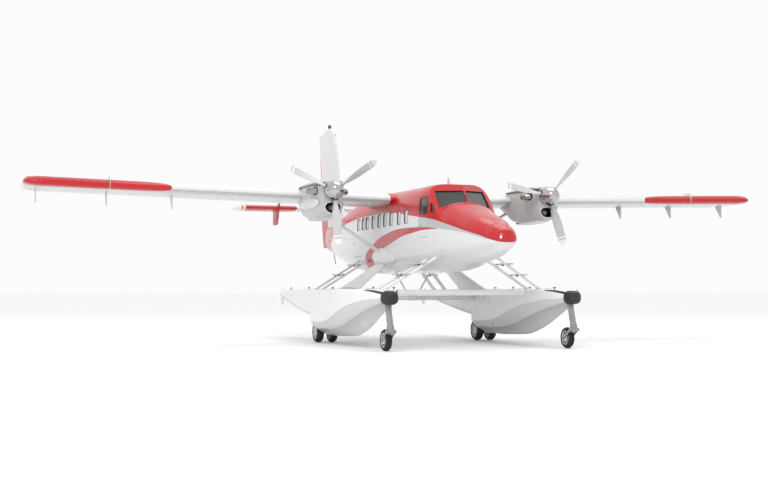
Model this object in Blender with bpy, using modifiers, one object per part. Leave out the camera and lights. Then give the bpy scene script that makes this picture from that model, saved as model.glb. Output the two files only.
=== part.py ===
# Twin-turboprop commuter airliner on amphibious floats, at its real size in metres.
#
# +Z is up, the nose points to -Y, the port side is +X. The ground is Z = 0 and the
# origin lies under the middle of the aircraft's box. Fore and aft places are stations:
# metres behind the leading edge of the straight wing, negative ahead of it.

import math

import bmesh
import bpy
from mathutils import Matrix, Vector

# Driving dimensions
WING_LE_Y = -2.375
WALL = 0.05
SEAM = 0.0004
PANEL_GAP = 0.007
HINGE_GAP = 0.0008

WHITE = (0.88, 0.88, 0.87)
RED = (0.58, 0.035, 0.04)
PALE_GREY = (0.55, 0.56, 0.57)
BLACK = (0.02, 0.02, 0.022)
CHROME = (0.75, 0.76, 0.78)
GLASS = (0.05, 0.07, 0.07)
BARE_METAL = (0.42, 0.42, 0.43)
DARK_TRIM = (0.06, 0.06, 0.065)


def at(x, station, z):
    """A point from its distance off centre, its station and its height."""
    return Vector((x, WING_LE_Y + station, z))


for old in list(bpy.data.objects):
    bpy.data.objects.remove(old, do_unlink=True)

part_collection = bpy.data.collections.new("float_plane")
cutter_collection = bpy.data.collections.new("cutters")
bpy.context.scene.collection.children.link(part_collection)
bpy.context.scene.collection.children.link(cutter_collection)


# Materials and objects


def paint(node, colour, roughness=0.35, metallic=0.0):
    """One Principled material of a node's own."""
    material = bpy.data.materials.new(node.name + "_finish")
    material.use_nodes = True
    shader = material.node_tree.nodes["Principled BSDF"]
    shader.inputs["Base Color"].default_value = (*colour, 1.0)
    shader.inputs["Roughness"].default_value = roughness
    shader.inputs["Metallic"].default_value = metallic
    node.data.materials.clear()
    node.data.materials.append(material)
    return node


def object_from(name, bm, cutter=False):
    """An object holding a bmesh whose faces all point out."""
    bmesh.ops.recalc_face_normals(bm, faces=bm.faces)
    mesh = bpy.data.meshes.new(name)
    bm.to_mesh(mesh)
    bm.free()
    node = bpy.data.objects.new(name, mesh)
    if cutter:
        cutter_collection.objects.link(node)
        node.hide_render = True
        node.display_type = "WIRE"
    else:
        part_collection.objects.link(node)
    return node


def boolean(node, other, operation):
    """Applies one exact Boolean to node and takes the other solid away."""
    modifier = node.modifiers.new(operation.lower(), "BOOLEAN")
    modifier.operation = operation
    modifier.object = other
    modifier.solver = "EXACT"
    graph = bpy.context.evaluated_depsgraph_get()
    mesh = bpy.data.meshes.new_from_object(node.evaluated_get(graph))
    node.modifiers.clear()
    old = node.data
    node.data = mesh
    bpy.data.meshes.remove(old)
    bpy.data.objects.remove(other, do_unlink=True)
    return node


def copy_of(node, name, cutter=False):
    """A second object with its own mesh."""
    twin = bpy.data.objects.new(name, node.data.copy())
    (cutter_collection if cutter else part_collection).objects.link(twin)
    if cutter:
        twin.hide_render = True
        twin.display_type = "WIRE"
    return twin


def smooth(node, angle_deg=35.0):
    """Round pieces are shaded smooth up to an edge angle."""
    node.data.shade_smooth()
    node.data.set_sharp_from_angle(angle=math.radians(angle_deg))
    return node


# Shapes


def add_loft(bm, rings):
    """Quads between closed rings of equal count, with a cap on each end."""
    rows = [[bm.verts.new(point) for point in ring] for ring in rings]
    count = len(rows[0])
    for front, back in zip(rows, rows[1:]):
        for i in range(count):
            j = (i + 1) % count
            bm.faces.new((front[i], front[j], back[j], back[i]))
    bm.faces.new(rows[0])
    bm.faces.new(rows[-1])


def add_rod(bm, start, end, radius, sides=12, chord=None, end_radius=None):
    """A round or streamlined rod; chord is its half depth along the aircraft."""
    start = Vector(start)
    end = Vector(end)
    run = end - start
    z_axis = run.normalized()
    y_axis = Vector((0.0, 1.0, 0.0)) - z_axis * z_axis.y
    if y_axis.length < 0.05:
        y_axis = Vector((0.0, 0.0, 1.0)) - z_axis * z_axis.z
    y_axis.normalize()
    x_axis = y_axis.cross(z_axis)
    turn = Matrix((x_axis, y_axis, z_axis)).transposed().to_4x4()
    stretch = Matrix.Diagonal((1.0, (chord or radius) / radius, 1.0, 1.0))
    bmesh.ops.create_cone(
        bm, cap_ends=True, segments=sides, radius1=radius,
        radius2=radius if end_radius is None else end_radius, depth=run.length,
        matrix=Matrix.Translation((start + end) / 2) @ turn @ stretch)


def add_box(bm, low, high):
    """A box between two corners."""
    low = Vector(low)
    high = Vector(high)
    size = high - low
    bmesh.ops.create_cube(
        bm, size=1.0, matrix=Matrix.Translation((low + high) / 2)
        @ Matrix.Diagonal((size.x, size.y, size.z, 1.0)))


def box_object(name, low, high, cutter=False):
    bm = bmesh.new()
    add_box(bm, low, high)
    return object_from(name, bm, cutter)


def turned(name, profile, centre, steps, closed=False):
    """A profile of (radius, height) pairs turned about the local Z through centre.

    The profile runs down its outer side; a closed one leaves a bore, an open one ends on the axis."""
    bm = bmesh.new()
    points = [bm.verts.new((radius, 0.0, height)) for radius, height in profile]
    for first, second in zip(points, points[1:]):
        bm.edges.new((first, second))
    if closed:
        bm.edges.new((points[-1], points[0]))
    mesh = bpy.data.meshes.new(name)
    bm.to_mesh(mesh)
    bm.free()
    node = bpy.data.objects.new(name, mesh)
    part_collection.objects.link(node)
    screw = node.modifiers.new("turn", "SCREW")
    screw.steps = steps
    screw.render_steps = steps
    screw.use_merge_vertices = True
    screw.merge_threshold = 0.0001
    graph = bpy.context.evaluated_depsgraph_get()
    solid = bpy.data.meshes.new_from_object(node.evaluated_get(graph))
    node.modifiers.clear()
    node.data = solid
    bpy.data.meshes.remove(mesh)
    node.location = centre
    return node


def set_mesh_place(node):
    """Writes an object's place into its mesh, so its own matrix is plain."""
    bpy.context.view_layer.update()
    node.data.transform(node.matrix_world)
    node.matrix_world = Matrix.Identity(4)
    return node


def section_ring(half_width, low, waist, high, square_low, square_high, station, count=24, x0=0.0):
    """A rounded section: a superellipse with its own exponent above and below the waist."""
    ring = []
    for i in range(count):
        angle = 2 * math.pi * (i + 0.5) / count
        c, s = math.cos(angle), math.sin(angle)
        power = 2.0 / (square_high if s > 0 else square_low)
        x = half_width * math.copysign(abs(c) ** power, c)
        z = waist + (high - waist if s > 0 else waist - low) * math.copysign(abs(s) ** power, s)
        ring.append(at(x0 + x, station, z))
    return ring


def blend_rows(table, station):
    """Straight-line values of a table's columns at a station; column 0 is the station."""
    for row, after in zip(table, table[1:]):
        if row[0] <= station <= after[0]:
            share = (station - row[0]) / (after[0] - row[0])
            return [a + (b - a) * share for a, b in zip(row, after)]
    return list(table[-1])


def fuselage_loft(name, table, inset=0.0, cutter=False):
    bm = bmesh.new()
    rings = []
    for station, low, waist, high, half_width, square_low, square_high in table:
        rings.append(section_ring(
            half_width - inset, low + inset, waist, high - inset, square_low, square_high,
            station))
    add_loft(bm, rings)
    bmesh.ops.triangulate(bm, faces=bm.faces, quad_method="FIXED")
    return object_from(name, bm, cutter)


# Fuselage: station, belly, waist, roof, half width, squareness below, squareness above
NOSE_TABLE = [
    (-5.32, 2.42, 2.45, 2.485, 0.04, 2.0, 2.0),
    (-5.26, 2.36, 2.46, 2.605, 0.152, 2.0, 2.0),
    (-5.08, 2.26, 2.48, 2.744, 0.281, 2.1, 2.0),
    (-4.75, 2.165, 2.51, 2.862, 0.38, 2.2, 2.1),
    (-4.40, 2.09, 2.55, 2.985, 0.49, 2.4, 2.2),
    (-3.70, 2.00, 2.62, 3.185, 0.625, 2.7, 2.3),
    (-3.00, 1.94, 2.70, 3.41, 0.735, 3.1, 2.4),
    (-2.30, 1.84, 2.75, 3.50, 0.80, 3.3, 2.6),
]
BODY_TABLE = [
    (-3.30, 2.02, 2.70, 3.72, 0.68, 3.1, 3.6),
    (-2.80, 1.90, 2.72, 3.83, 0.75, 3.2, 4.4),
    (-2.20, 1.83, 2.75, 3.895, 0.825, 3.4, 4.8),
    (-1.40, 1.80, 2.75, 3.91, 0.87, 3.5, 4.4),
    (0.00, 1.80, 2.75, 3.935, 0.875, 3.6, 4.0),
    (1.90, 1.80, 2.75, 3.945, 0.875, 3.6, 4.0),
    (2.80, 1.81, 2.75, 3.925, 0.875, 3.6, 3.7),
    (3.60, 1.86, 2.76, 3.88, 0.865, 3.5, 3.4),
    (4.50, 1.97, 2.80, 3.79, 0.82, 3.3, 3.2),
    (5.60, 2.15, 2.87, 3.63, 0.69, 3.0, 2.8),
    (7.00, 2.37, 2.97, 3.50, 0.47, 2.6, 2.4),
    (8.20, 2.56, 3.02, 3.43, 0.25, 2.3, 2.2),
    (8.84, 2.66, 3.03, 3.41, 0.13, 2.2, 2.2),
]
CABIN_FRONT = -2.95
COCKPIT_BACK = -1.45
CABIN_BACK = 4.40
BULKHEAD = 0.04
TAIL_ROOM_END = 8.10
# Windscreen pane: foot and head of the centre post, and the foot of the side post
POST_FOOT = (0.0, -3.016, 3.436)
POST_HEAD = (0.0, -2.752, 3.712)
SIDE_FOOT = (0.666, -2.783, 3.291)
GLASS_THICK = 0.012
NOSE_JOINT = -3.10
# Doors: name, first station, last station, sill, head, hinge line's distance off centre
DOORS = [
    ("crew_door", -2.45, -1.90, 2.62, 3.61, 0.814),
    ("cabin_door", 2.60, 3.34, 2.28, 3.46, 0.889),
]
DOOR_NEAR = 0.55
CABIN_WINDOWS = [-1.10, -0.56, 0.04, 0.54, 1.02, 1.52, 2.05, 2.40]
WINDOW_LOW = 3.00
WINDOW_HIGH = 3.34
WINDOW_HALF = 0.13
CREW_WINDOW = (-2.40, -1.98, 3.17, 3.565)
CABIN_DOOR_WINDOW = (2.72, 2.96, 3.00, 3.32)
FLOOR_TOP = 2.24


def pane_normal(side):
    """Outward normal of a windscreen pane's plane, on the side +1 or -1."""
    foot = at(*POST_FOOT)
    head = at(*POST_HEAD)
    corner = at(*SIDE_FOOT)
    normal = (corner - foot).cross(head - foot).normalized()
    if normal.z < 0:
        normal = -normal
    return Vector((normal.x * side, normal.y, normal.z))


def plane_block(name, point, normal, reach=6.0, offset=0.0, thick=None):
    """A big block on the outer side of a plane, or a slab of it that is thick deep."""
    depth = thick or reach
    bm = bmesh.new()
    turn = normal.to_track_quat("Z", "Y").to_matrix().to_4x4()
    place = Matrix.Translation(point + normal * (offset + depth / 2))
    bmesh.ops.create_cube(
        bm, size=1.0, matrix=place @ turn @ Matrix.Diagonal((reach, reach, depth, 1.0)))
    return object_from(name, bm, cutter=True)


def outer_hull(name, inset=0.0):
    """The fuselage's outside, or the same shape drawn in by inset, as one closed solid."""
    body = fuselage_loft(name, BODY_TABLE, inset)
    for side in (1.0, -1.0):
        block = plane_block("pane_cut", at(*POST_FOOT), pane_normal(side), offset=-inset)
        boolean(body, block, "DIFFERENCE")
    nose = fuselage_loft("nose_shape", NOSE_TABLE, inset, cutter=True)
    return boolean(body, nose, "UNION")


def slab(name, first, last, low=0.0, high=8.0, reach=3.0):
    """A box between two stations, wider than the fuselage."""
    return box_object(name, at(-reach, first, low), at(reach, last, high), cutter=True)


def window_cutter(name, first, last, low, high, near=0.45, far=1.2, round_off=0.06):
    """Two rounded prisms, one through each side wall."""
    bm = bmesh.new()
    centre_y, half_y = (first + last) / 2, (last - first) / 2
    centre_z, half_z = (low + high) / 2, (high - low) / 2
    outline = []
    for corner in range(4):
        sign_y = (1, -1, -1, 1)[corner]
        sign_z = (1, 1, -1, -1)[corner]
        for step in range(2):
            angle = math.pi / 2 * (corner + step)
            outline.append((
                centre_y + sign_y * (half_y - round_off) + round_off * math.cos(angle),
                centre_z + sign_z * (half_z - round_off) + round_off * math.sin(angle)))
    for side in (1.0, -1.0):
        add_loft(bm, [[at(side * x, y, z) for y, z in outline] for x in (near, far)])
    return object_from(name, bm, cutter=True)


def table_between(table, first, last):
    """The table's rows between two stations, with a blended row at each of them."""
    rows = [row for row in table if first < row[0] < last]
    rows.insert(0, tuple(blend_rows(table, first)))
    rows.append(tuple(blend_rows(table, last)))
    return rows


def inner_room(name, inset):
    """The cockpit and cabin's inside, drawn in from the skin by inset."""
    room = fuselage_loft(name, table_between(BODY_TABLE, CABIN_FRONT, CABIN_BACK), inset, cutter=True)
    for side in (1.0, -1.0):
        block = plane_block("pane_cut", at(*POST_FOOT), pane_normal(side), offset=-inset)
        boolean(room, block, "DIFFERENCE")
    nose_wall = fuselage_loft("nose_shape", NOSE_TABLE, inset, cutter=True)
    boolean(nose_wall, slab("front_part", CABIN_FRONT, -2.40), "INTERSECT")
    return boolean(room, nose_wall, "UNION")


def door_prism(name, side, row, margin):
    """A door's room in its wall; its rear edge is an arc about the hinge, so the leaf swings free."""
    first, last, sill, head, hinge_x = row
    hinge_station_y = first + PANEL_GAP
    radius = last - PANEL_GAP - hinge_station_y + margin
    far = hinge_x + 0.06
    front = first + PANEL_GAP - (HINGE_GAP if margin else 0.0)
    outline = [(DOOR_NEAR, front), (far, front)]
    for i in range(7):
        x = far + (DOOR_NEAR - far) * i / 6
        outline.append((x, hinge_station_y + math.sqrt(radius ** 2 - (x - hinge_x) ** 2)))
    bm = bmesh.new()
    add_loft(bm, [[at(side * x, station, z) for x, station in outline]
                  for z in (sill + PANEL_GAP - margin, head - PANEL_GAP + margin)])
    return object_from(name, bm, True)


def build_fuselage():
    """The nose is solid, the tail a cup; cockpit and cabin are walls with doors and windows."""
    outside = outer_hull("outside")
    boolean(outside, inner_room("inside", WALL), "DIFFERENCE")
    tail_room = fuselage_loft(
        "tail_room", table_between(BODY_TABLE, CABIN_BACK + BULKHEAD + SEAM / 2, TAIL_ROOM_END),
        WALL, cutter=True)
    boolean(outside, tail_room, "DIFFERENCE")
    lean = (fin_rear(4.3) - fin_rear(3.3))
    rear_cut = plane_block("rear_cut", at(0.0, fin_rear(3.3), 3.3), Vector((0.0, 1.0, -lean)).normalized())
    boolean(outside, rear_cut, "DIFFERENCE")

    pieces = {}
    cuts = [
        ("nose_section", -7.0, NOSE_JOINT),
        ("cockpit_shell", NOSE_JOINT + SEAM, COCKPIT_BACK),
        ("cabin_shell", COCKPIT_BACK + SEAM, CABIN_BACK + BULKHEAD),
        ("tail_cone", CABIN_BACK + BULKHEAD + SEAM, 12.0),
    ]
    for name, first, last in cuts:
        piece = copy_of(outside, name)
        boolean(piece, slab("cut", first, last), "INTERSECT")
        pieces[name] = piece

    for door_name, *row in DOORS:
        shell = pieces["cockpit_shell" if door_name == "crew_door" else "cabin_shell"]
        for side, suffix in ((1.0, "left"), (-1.0, "right")):
            leaf = copy_of(shell, door_name + "_" + suffix)
            boolean(leaf, door_prism("leaf", side, row, 0.0), "INTERSECT")
            pieces[leaf.name] = leaf
            boolean(shell, door_prism("hole", side, row, PANEL_GAP), "DIFFERENCE")
            middle_z = (row[2] + row[3]) / 2
            hinge = empty_at(leaf.name + "_hinge", at(side * row[4], row[0] + PANEL_GAP, middle_z))
            hang_on(leaf, hinge)

    for station in CABIN_WINDOWS:
        hole = window_cutter("window", station - WINDOW_HALF, station + WINDOW_HALF,
                             WINDOW_LOW, WINDOW_HIGH)
        boolean(pieces["cabin_shell"], hole, "DIFFERENCE")
    for door_name, window in (("crew_door", CREW_WINDOW), ("cabin_door", CABIN_DOOR_WINDOW)):
        for suffix in ("left", "right"):
            boolean(pieces[door_name + "_" + suffix], window_cutter("window", *window),
                    "DIFFERENCE")

    build_windscreen(pieces["cockpit_shell"])
    for name, piece in pieces.items():
        colour = RED if name == "nose_section" or name.startswith("crew_door") else WHITE
        smooth(paint(piece, colour))
    return pieces


# Windscreen opening in the pane's own plane: across from the centre post, and up the slope
PANE_OUTLINE = [(0.036, 0.02), (0.69, 0.06), (0.66, 0.61), (0.036, 0.38)]


def pane_frame(side):
    """Origin, across, up-slope and outward directions of one pane."""
    foot = at(*POST_FOOT)
    up = (at(*POST_HEAD) - foot).normalized()
    normal = pane_normal(side)
    across = up.cross(normal) * side
    if across.x * side < 0:
        across = -across
    return foot, across, up, normal


def pane_prism(name, side, margin, inner, outer, cutter=True):
    """A prism over the pane's outline, from inner to outer off its plane."""
    foot, across, up, normal = pane_frame(side)
    signs = ((1, 1), (-1, 1), (-1, -1), (1, -1))
    outline = [(u + right * margin, v + up_sign * margin)
               for (u, v), (right, up_sign) in zip(PANE_OUTLINE, signs)]
    bm = bmesh.new()
    rings = [[foot + across * u + up * v + normal * depth for u, v in outline]
             for depth in (inner, outer)]
    add_loft(bm, rings)
    return object_from(name, bm, cutter)


def build_windscreen(shell):
    """Cuts the two openings and sets a flat pane in each."""
    for side, suffix in ((1.0, "left"), (-1.0, "right")):
        boolean(shell, pane_prism("pane_hole", side, 0.0, -0.30, 0.10), "DIFFERENCE")
        pane = pane_prism("windscreen_" + suffix, side, SEAM, -0.025 - GLASS_THICK, -0.025, False)
        paint(pane, GLASS, 0.05)


SEAT_ROW_PITCH = 0.76
SEAT_ROWS = 5


def seat_boxes(x, station, half_wide, head_rest):
    """Corners of a seat's pedestal, cushion, back and head rest; each runs into the next."""
    leg, back = half_wide * 0.8, half_wide * 0.95
    boxes = [
        (at(x - leg, station - 0.17, FLOOR_TOP - 0.01), at(x + leg, station + 0.17, 2.52)),
        (at(x - half_wide, station - 0.24, 2.50), at(x + half_wide, station + 0.24, 2.63)),
        (at(x - back, station + 0.14, 2.60), at(x + back, station + 0.24, 3.18)),
    ]
    if head_rest:
        boxes.append((at(x - 0.12, station + 0.155, 3.16), at(x + 0.12, station + 0.225, 3.36)))
    return boxes


def build_interior():
    """The floor with the seats that stand on it, and the instrument panel with its pedestal."""
    floor = box_object("cabin_floor", at(-0.70, -2.80, FLOOR_TOP - 0.03),
                       at(0.70, CABIN_BACK - 0.1, FLOOR_TOP))
    seats = []
    for x in (-0.38, 0.38):
        seats += seat_boxes(x, -1.98, 0.21, True)
        for row in range(SEAT_ROWS):
            seats += seat_boxes(x * 1.3, -0.75 + row * SEAT_ROW_PITCH, 0.19, False)
        seats.append((at(x * 1.3 - 0.03, -2.40, 1.80), at(x * 1.3 + 0.03, 3.6, FLOOR_TOP - 0.02)))
    for low, high in seats:
        boolean(floor, box_object("seat", low, high, True), "UNION")
    boolean(floor, inner_room("room", WALL + SEAM), "INTERSECT")
    paint(floor, DARK_TRIM, 0.7)
    foot = FLOOR_TOP + SEAM
    panel = box_object("instrument_panel", at(-0.56, -2.80, foot), at(0.56, -2.60, 3.02))
    pedestal = box_object("pedestal", at(-0.15, -2.70, foot), at(0.15, -2.24, 2.62), True)
    boolean(panel, pedestal, "UNION")
    paint(panel, DARK_TRIM, 0.7)


# Wing
CHORD = 1.98
WING_ROOT_X = 0.60
WING_LE_ROOT_Z = 3.68
DIHEDRAL_RISE = 0.0254
INCIDENCE = math.radians(2.5)
WING_THICK = 0.16
WING_CAMBER = 0.03
REAR_FACE = 1.40
HINGE_RADIUS = 0.072
HINGE_BACK = REAR_FACE + HINGE_RADIUS + HINGE_GAP
# Rounded tip: distance out, leading edge set back, trailing edge set in, thickness share
TIP_TABLE = [
    (9.456, 0.00, 0.00, 1.00),
    (9.68, 0.02, 0.03, 0.90),
    (9.84, 0.08, 0.12, 0.66),
    (9.905, 0.24, 0.45, 0.20),
]
FLAP_INNER = 0.93
FLAP_OUTER = 6.28
AILERON_INNER = 6.32
AILERON_OUTER = 9.44
REAR_CUT_OUT = 9.45
BRACKET_OUTS = [6.30, 7.90, 9.58]


def half_thickness(share):
    """Half the aerofoil's thickness over the chord, at a share of the chord."""
    s = max(share, 0.0)
    return 5 * WING_THICK * (0.2969 * math.sqrt(s) - 0.1260 * s - 0.3516 * s ** 2
                             + 0.2843 * s ** 3 - 0.1015 * s ** 4)


def camber(share):
    """Height of the aerofoil's middle line over the chord."""
    p = 0.4
    if share < p:
        return WING_CAMBER / p ** 2 * (2 * p * share - share ** 2)
    return WING_CAMBER / (1 - p) ** 2 * ((1 - 2 * p) + 2 * p * share - share ** 2)


def wing_point(x, depth, height):
    """A wing point: depth behind the leading edge and height off the chord line."""
    z0 = WING_LE_ROOT_Z + DIHEDRAL_RISE * (abs(x) - 0.86)
    y = depth * math.cos(INCIDENCE) + height * math.sin(INCIDENCE)
    z = -depth * math.sin(INCIDENCE) + height * math.cos(INCIDENCE)
    return at(x, y, z0 + z)


def aerofoil_ring(x, rear, lead=0.0, trail=0.0, thick=1.0, grow=0.0, count=9):
    """The fixed wing's section, from its flat rear face round the leading edge."""
    chord = CHORD - lead - trail
    top, bottom = [], []
    last = min((rear - lead) / chord, 1.0)
    for i in range(count + 1):
        share = last * (1 - math.cos(math.pi / 2 * i / count))
        middle = camber(share) * chord
        half = half_thickness(share) * chord * thick + grow
        depth = lead + share * chord - (grow if i == 0 else 0.0)
        top.append(wing_point(x, depth, middle + half if i else middle))
        bottom.append(wing_point(x, depth, middle - half))
    return list(reversed(top)) + bottom[1:]


def wing_rings(side, inner_x, grow=0.0):
    """Sections from the root to the tip; outboard of the aileron the wing keeps its whole chord."""
    rings = [aerofoil_ring(side * out, REAR_FACE + grow, grow=grow) for out in (inner_x, REAR_CUT_OUT)]
    for out, lead, trail, thick in TIP_TABLE:
        rings.append(aerofoil_ring(side * out, CHORD - trail, lead, trail, thick, grow))
    return rings


def surface_ring(x):
    """A flap or aileron section: a round nose on the hinge and straight sides to the edge."""
    share = HINGE_BACK / CHORD
    centre = camber(share) * CHORD
    ring = []
    for i in range(7):
        angle = math.pi / 2 + math.pi * i / 6
        ring.append(wing_point(x, HINGE_BACK + HINGE_RADIUS * math.cos(angle),
                               centre + HINGE_RADIUS * math.sin(angle)))
    ring.append(wing_point(x, CHORD, -0.004))
    ring.append(wing_point(x, CHORD, 0.004))
    return ring


def hinge_point(x):
    return wing_point(x, HINGE_BACK, camber(HINGE_BACK / CHORD) * CHORD)


def build_wings(hull_grown):
    """Each wing with the hinge plates under it, and its flap and aileron."""
    for side, suffix in ((1.0, "left"), (-1.0, "right")):
        bm = bmesh.new()
        add_loft(bm, wing_rings(side, WING_ROOT_X))
        wing = object_from("wing_" + suffix, bm)
        boolean(wing, copy_of(hull_grown, "hull_cut", True), "DIFFERENCE")
        for out in BRACKET_OUTS:
            x = side * out
            under = wing_point(x, 1.2, camber(0.6) * CHORD - half_thickness(0.6) * CHORD)
            top_z = under.z + 0.04
            bm = bmesh.new()
            add_loft(bm, [[Vector((x + dx, under.y + dy, z))
                           for dx, dy in ((-0.012, -0.17), (0.012, -0.17),
                                          (0.012, back), (-0.012, back))]
                          for z, back in ((top_z, 0.16), (top_z - 0.37, -0.10))])
            boolean(wing, object_from("plate", bm, True), "UNION")
        smooth(paint(wing, WHITE))
        for name, inner, outer in (("flap", FLAP_INNER, FLAP_OUTER),
                                   ("aileron", AILERON_INNER, AILERON_OUTER)):
            hinge = empty_at(name + "_" + suffix + "_hinge", hinge_point(side * inner))
            bm = bmesh.new()
            add_loft(bm, [surface_ring(side * inner), surface_ring(side * outer)])
            node = object_from(name + "_" + suffix, bm)
            smooth(paint(node, WHITE))
            hang_on(node, hinge)


def empty_at(name, place):
    """An empty that marks a joint."""
    empty = bpy.data.objects.new(name, None)
    empty.location = place
    part_collection.objects.link(empty)
    return empty


def hang_on(node, empty):
    """Parents a node to its joint's empty and keeps its place in the world."""
    bpy.context.view_layer.update()
    node.parent = empty
    node.matrix_parent_inverse = empty.matrix_world.inverted()


# Nacelle: station, bottom, waist, top, half width, squareness below, squareness above
NACELLE_X = 2.833
SHAFT_Z = 3.739
NACELLE_TABLE = [
    (-1.40, 3.15, 3.66, 3.98, 0.235, 2.4, 2.2),
    (-1.30, 3.10, 3.66, 4.005, 0.29, 2.6, 2.6),
    (-1.00, 3.06, 3.66, 4.01, 0.35, 3.0, 3.4),
    (-0.20, 3.05, 3.66, 4.01, 0.39, 3.4, 3.8),
    (0.25, 3.16, 3.66, 3.99, 0.39, 3.4, 3.4),
    (0.90, 3.34, 3.66, 3.93, 0.34, 3.0, 3.0),
    (1.36, 3.50, 3.66, 3.84, 0.16, 2.4, 2.4),
]
INTAKE_Z = 3.345
INTAKE_HALF_WIDE = 0.185
INTAKE_HALF_TALL = 0.125
ENGINE_RADIUS = 0.22
ENGINE_FRONT = -1.10
ENGINE_BACK = -0.12
NACELLE_WALL = 0.02
EXHAUST_Z = 3.79
EXHAUST_RADIUS = 0.085


def nacelle_loft(name, x0, table, inset, cutter=False):
    bm = bmesh.new()
    rings = []
    for station, low, waist, high, half_width, square_low, square_high in table:
        rings.append(section_ring(half_width - inset, low + inset, waist, high - inset,
                                  square_low, square_high, station, 16, x0))
    add_loft(bm, rings)
    return object_from(name, bm, cutter)


def build_nacelles():
    """A hollow cowling with its chin intake, and the engine in it with two exhaust stubs."""
    for side, suffix in ((1.0, "left"), (-1.0, "right")):
        x0 = side * NACELLE_X
        nacelle = nacelle_loft("nacelle_" + suffix, x0, NACELLE_TABLE, 0.0)
        hollow_table = table_between(NACELLE_TABLE, ENGINE_FRONT, ENGINE_BACK + 0.05)
        hollow = nacelle_loft("nacelle_hollow", x0, hollow_table, NACELLE_WALL, True)
        boolean(nacelle, hollow, "DIFFERENCE")
        bm = bmesh.new()
        add_rod(bm, at(x0, -1.60, 0), at(x0, -1.0, 0), INTAKE_HALF_WIDE, 16)
        flatten = Matrix.Diagonal((1.0, 1.0, INTAKE_HALF_TALL / INTAKE_HALF_WIDE, 1.0))
        bmesh.ops.transform(bm, matrix=Matrix.Translation((0, 0, INTAKE_Z)) @ flatten,
                            verts=bm.verts)
        boolean(nacelle, object_from("intake", bm, True), "DIFFERENCE")
        bm = bmesh.new()
        add_rod(bm, at(x0, -1.60, SHAFT_Z), at(x0, -1.0, SHAFT_Z), 0.075, 16)
        boolean(nacelle, object_from("shaft_hole", bm, True), "DIFFERENCE")
        bm = bmesh.new()
        add_loft(bm, wing_rings(side, 0.5, SEAM))
        boolean(nacelle, object_from("wing_cut", bm, True), "DIFFERENCE")
        bm = bmesh.new()
        add_rod(bm, at(x0, ENGINE_FRONT + SEAM, SHAFT_Z), at(x0, ENGINE_BACK, SHAFT_Z),
                ENGINE_RADIUS, 16)
        engine = object_from("engine_" + suffix, bm)
        for way in (1.0, -1.0):
            start = at(x0 + way * 0.10, -0.96, EXHAUST_Z)
            end = at(x0 + way * 0.50, -0.62, EXHAUST_Z + 0.01)
            bm = bmesh.new()
            add_rod(bm, start, end + (end - start) * 0.1, EXHAUST_RADIUS + 0.002, 16)
            boolean(nacelle, object_from("exhaust_hole", bm, True), "DIFFERENCE")
            bm = bmesh.new()
            add_rod(bm, start, end, EXHAUST_RADIUS, 16)
            boolean(engine, object_from("exhaust_stub", bm, True), "UNION")
        smooth(paint(nacelle, PALE_GREY))
        smooth(paint(engine, CHROME, 0.2, 1.0))


# Propellers
PROP_STATION = -1.50
PROP_RADIUS = 1.295
SPINNER_RADIUS = 0.235
FIRST_BLADE_DEG = {"left": 48.0, "right": 35.0}
# Blade: share of the radius, chord, pitch in degrees, half thickness
BLADE_TABLE = [
    (0.165, 0.10, 80.0, 0.040),
    (0.28, 0.17, 62.0, 0.026),
    (0.50, 0.225, 44.0, 0.015),
    (0.75, 0.215, 32.0, 0.010),
    (0.94, 0.175, 26.0, 0.006),
    (1.00, 0.10, 25.0, 0.003),
]


def blade_ring(centre, out, chord, pitch, half_thick):
    """A lens-shaped blade section across the direction out; pitch is from the disc plane."""
    ring = []
    forward = Vector((0.0, -1.0, 0.0))
    tangent = forward.cross(out)
    lean = math.radians(pitch)
    along = tangent * math.cos(lean) + forward * math.sin(lean)
    across = forward * math.cos(lean) - tangent * math.sin(lean)
    for i in range(10):
        angle = 2 * math.pi * i / 10
        ring.append(centre + along * (chord / 2 * math.cos(angle))
                    + across * (half_thick * math.sin(angle)))
    return ring


def build_propellers():
    for side, suffix in ((1.0, "left"), (-1.0, "right")):
        hub = at(side * NACELLE_X, PROP_STATION, SHAFT_Z)
        empty = empty_at("propeller_" + suffix + "_shaft", hub)
        bm = bmesh.new()
        add_rod(bm, hub + Vector((0, -0.11, 0)), hub + Vector((0, 0.09, 0)), 0.13, 20)
        node = object_from("propeller_" + suffix, bm)
        bm = bmesh.new()
        add_rod(bm, hub + Vector((0, 0.05, 0)), hub + Vector((0, 0.40, 0)), 0.06, 16)
        boolean(node, object_from("shaft", bm, True), "UNION")
        for blade in range(3):
            turn = math.radians(FIRST_BLADE_DEG[suffix] + 120 * blade)
            out = Vector((math.cos(turn), 0.0, math.sin(turn)))
            bm = bmesh.new()
            add_loft(bm, [blade_ring(hub + out * share * PROP_RADIUS, out, chord, pitch, half)
                          for share, chord, pitch, half in BLADE_TABLE])
            boolean(node, object_from("blade", bm, True), "UNION")
            bm = bmesh.new()
            add_rod(bm, hub + out * 0.06, hub + out * (0.19 * PROP_RADIUS), 0.055, 8)
            boolean(node, object_from("blade_root", bm, True), "UNION")
        smooth(paint(node, PALE_GREY, 0.4))
        hang_on(node, empty)
        profile = [(0.0, 0.34), (0.07, 0.32), (0.16, 0.24), (0.222, 0.10),
                   (SPINNER_RADIUS, 0.0), (SPINNER_RADIUS, -0.10), (0.0, -0.10)]
        spinner = turned("spinner_" + suffix, profile, hub, 16)
        spinner.rotation_euler = (math.radians(90.0), 0.0, 0.0)
        set_mesh_place(spinner)
        boolean(spinner, clearance_copy(node, hub), "DIFFERENCE")
        smooth(paint(spinner, CHROME, 0.08, 1.0))
        hang_on(spinner, empty)


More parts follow.
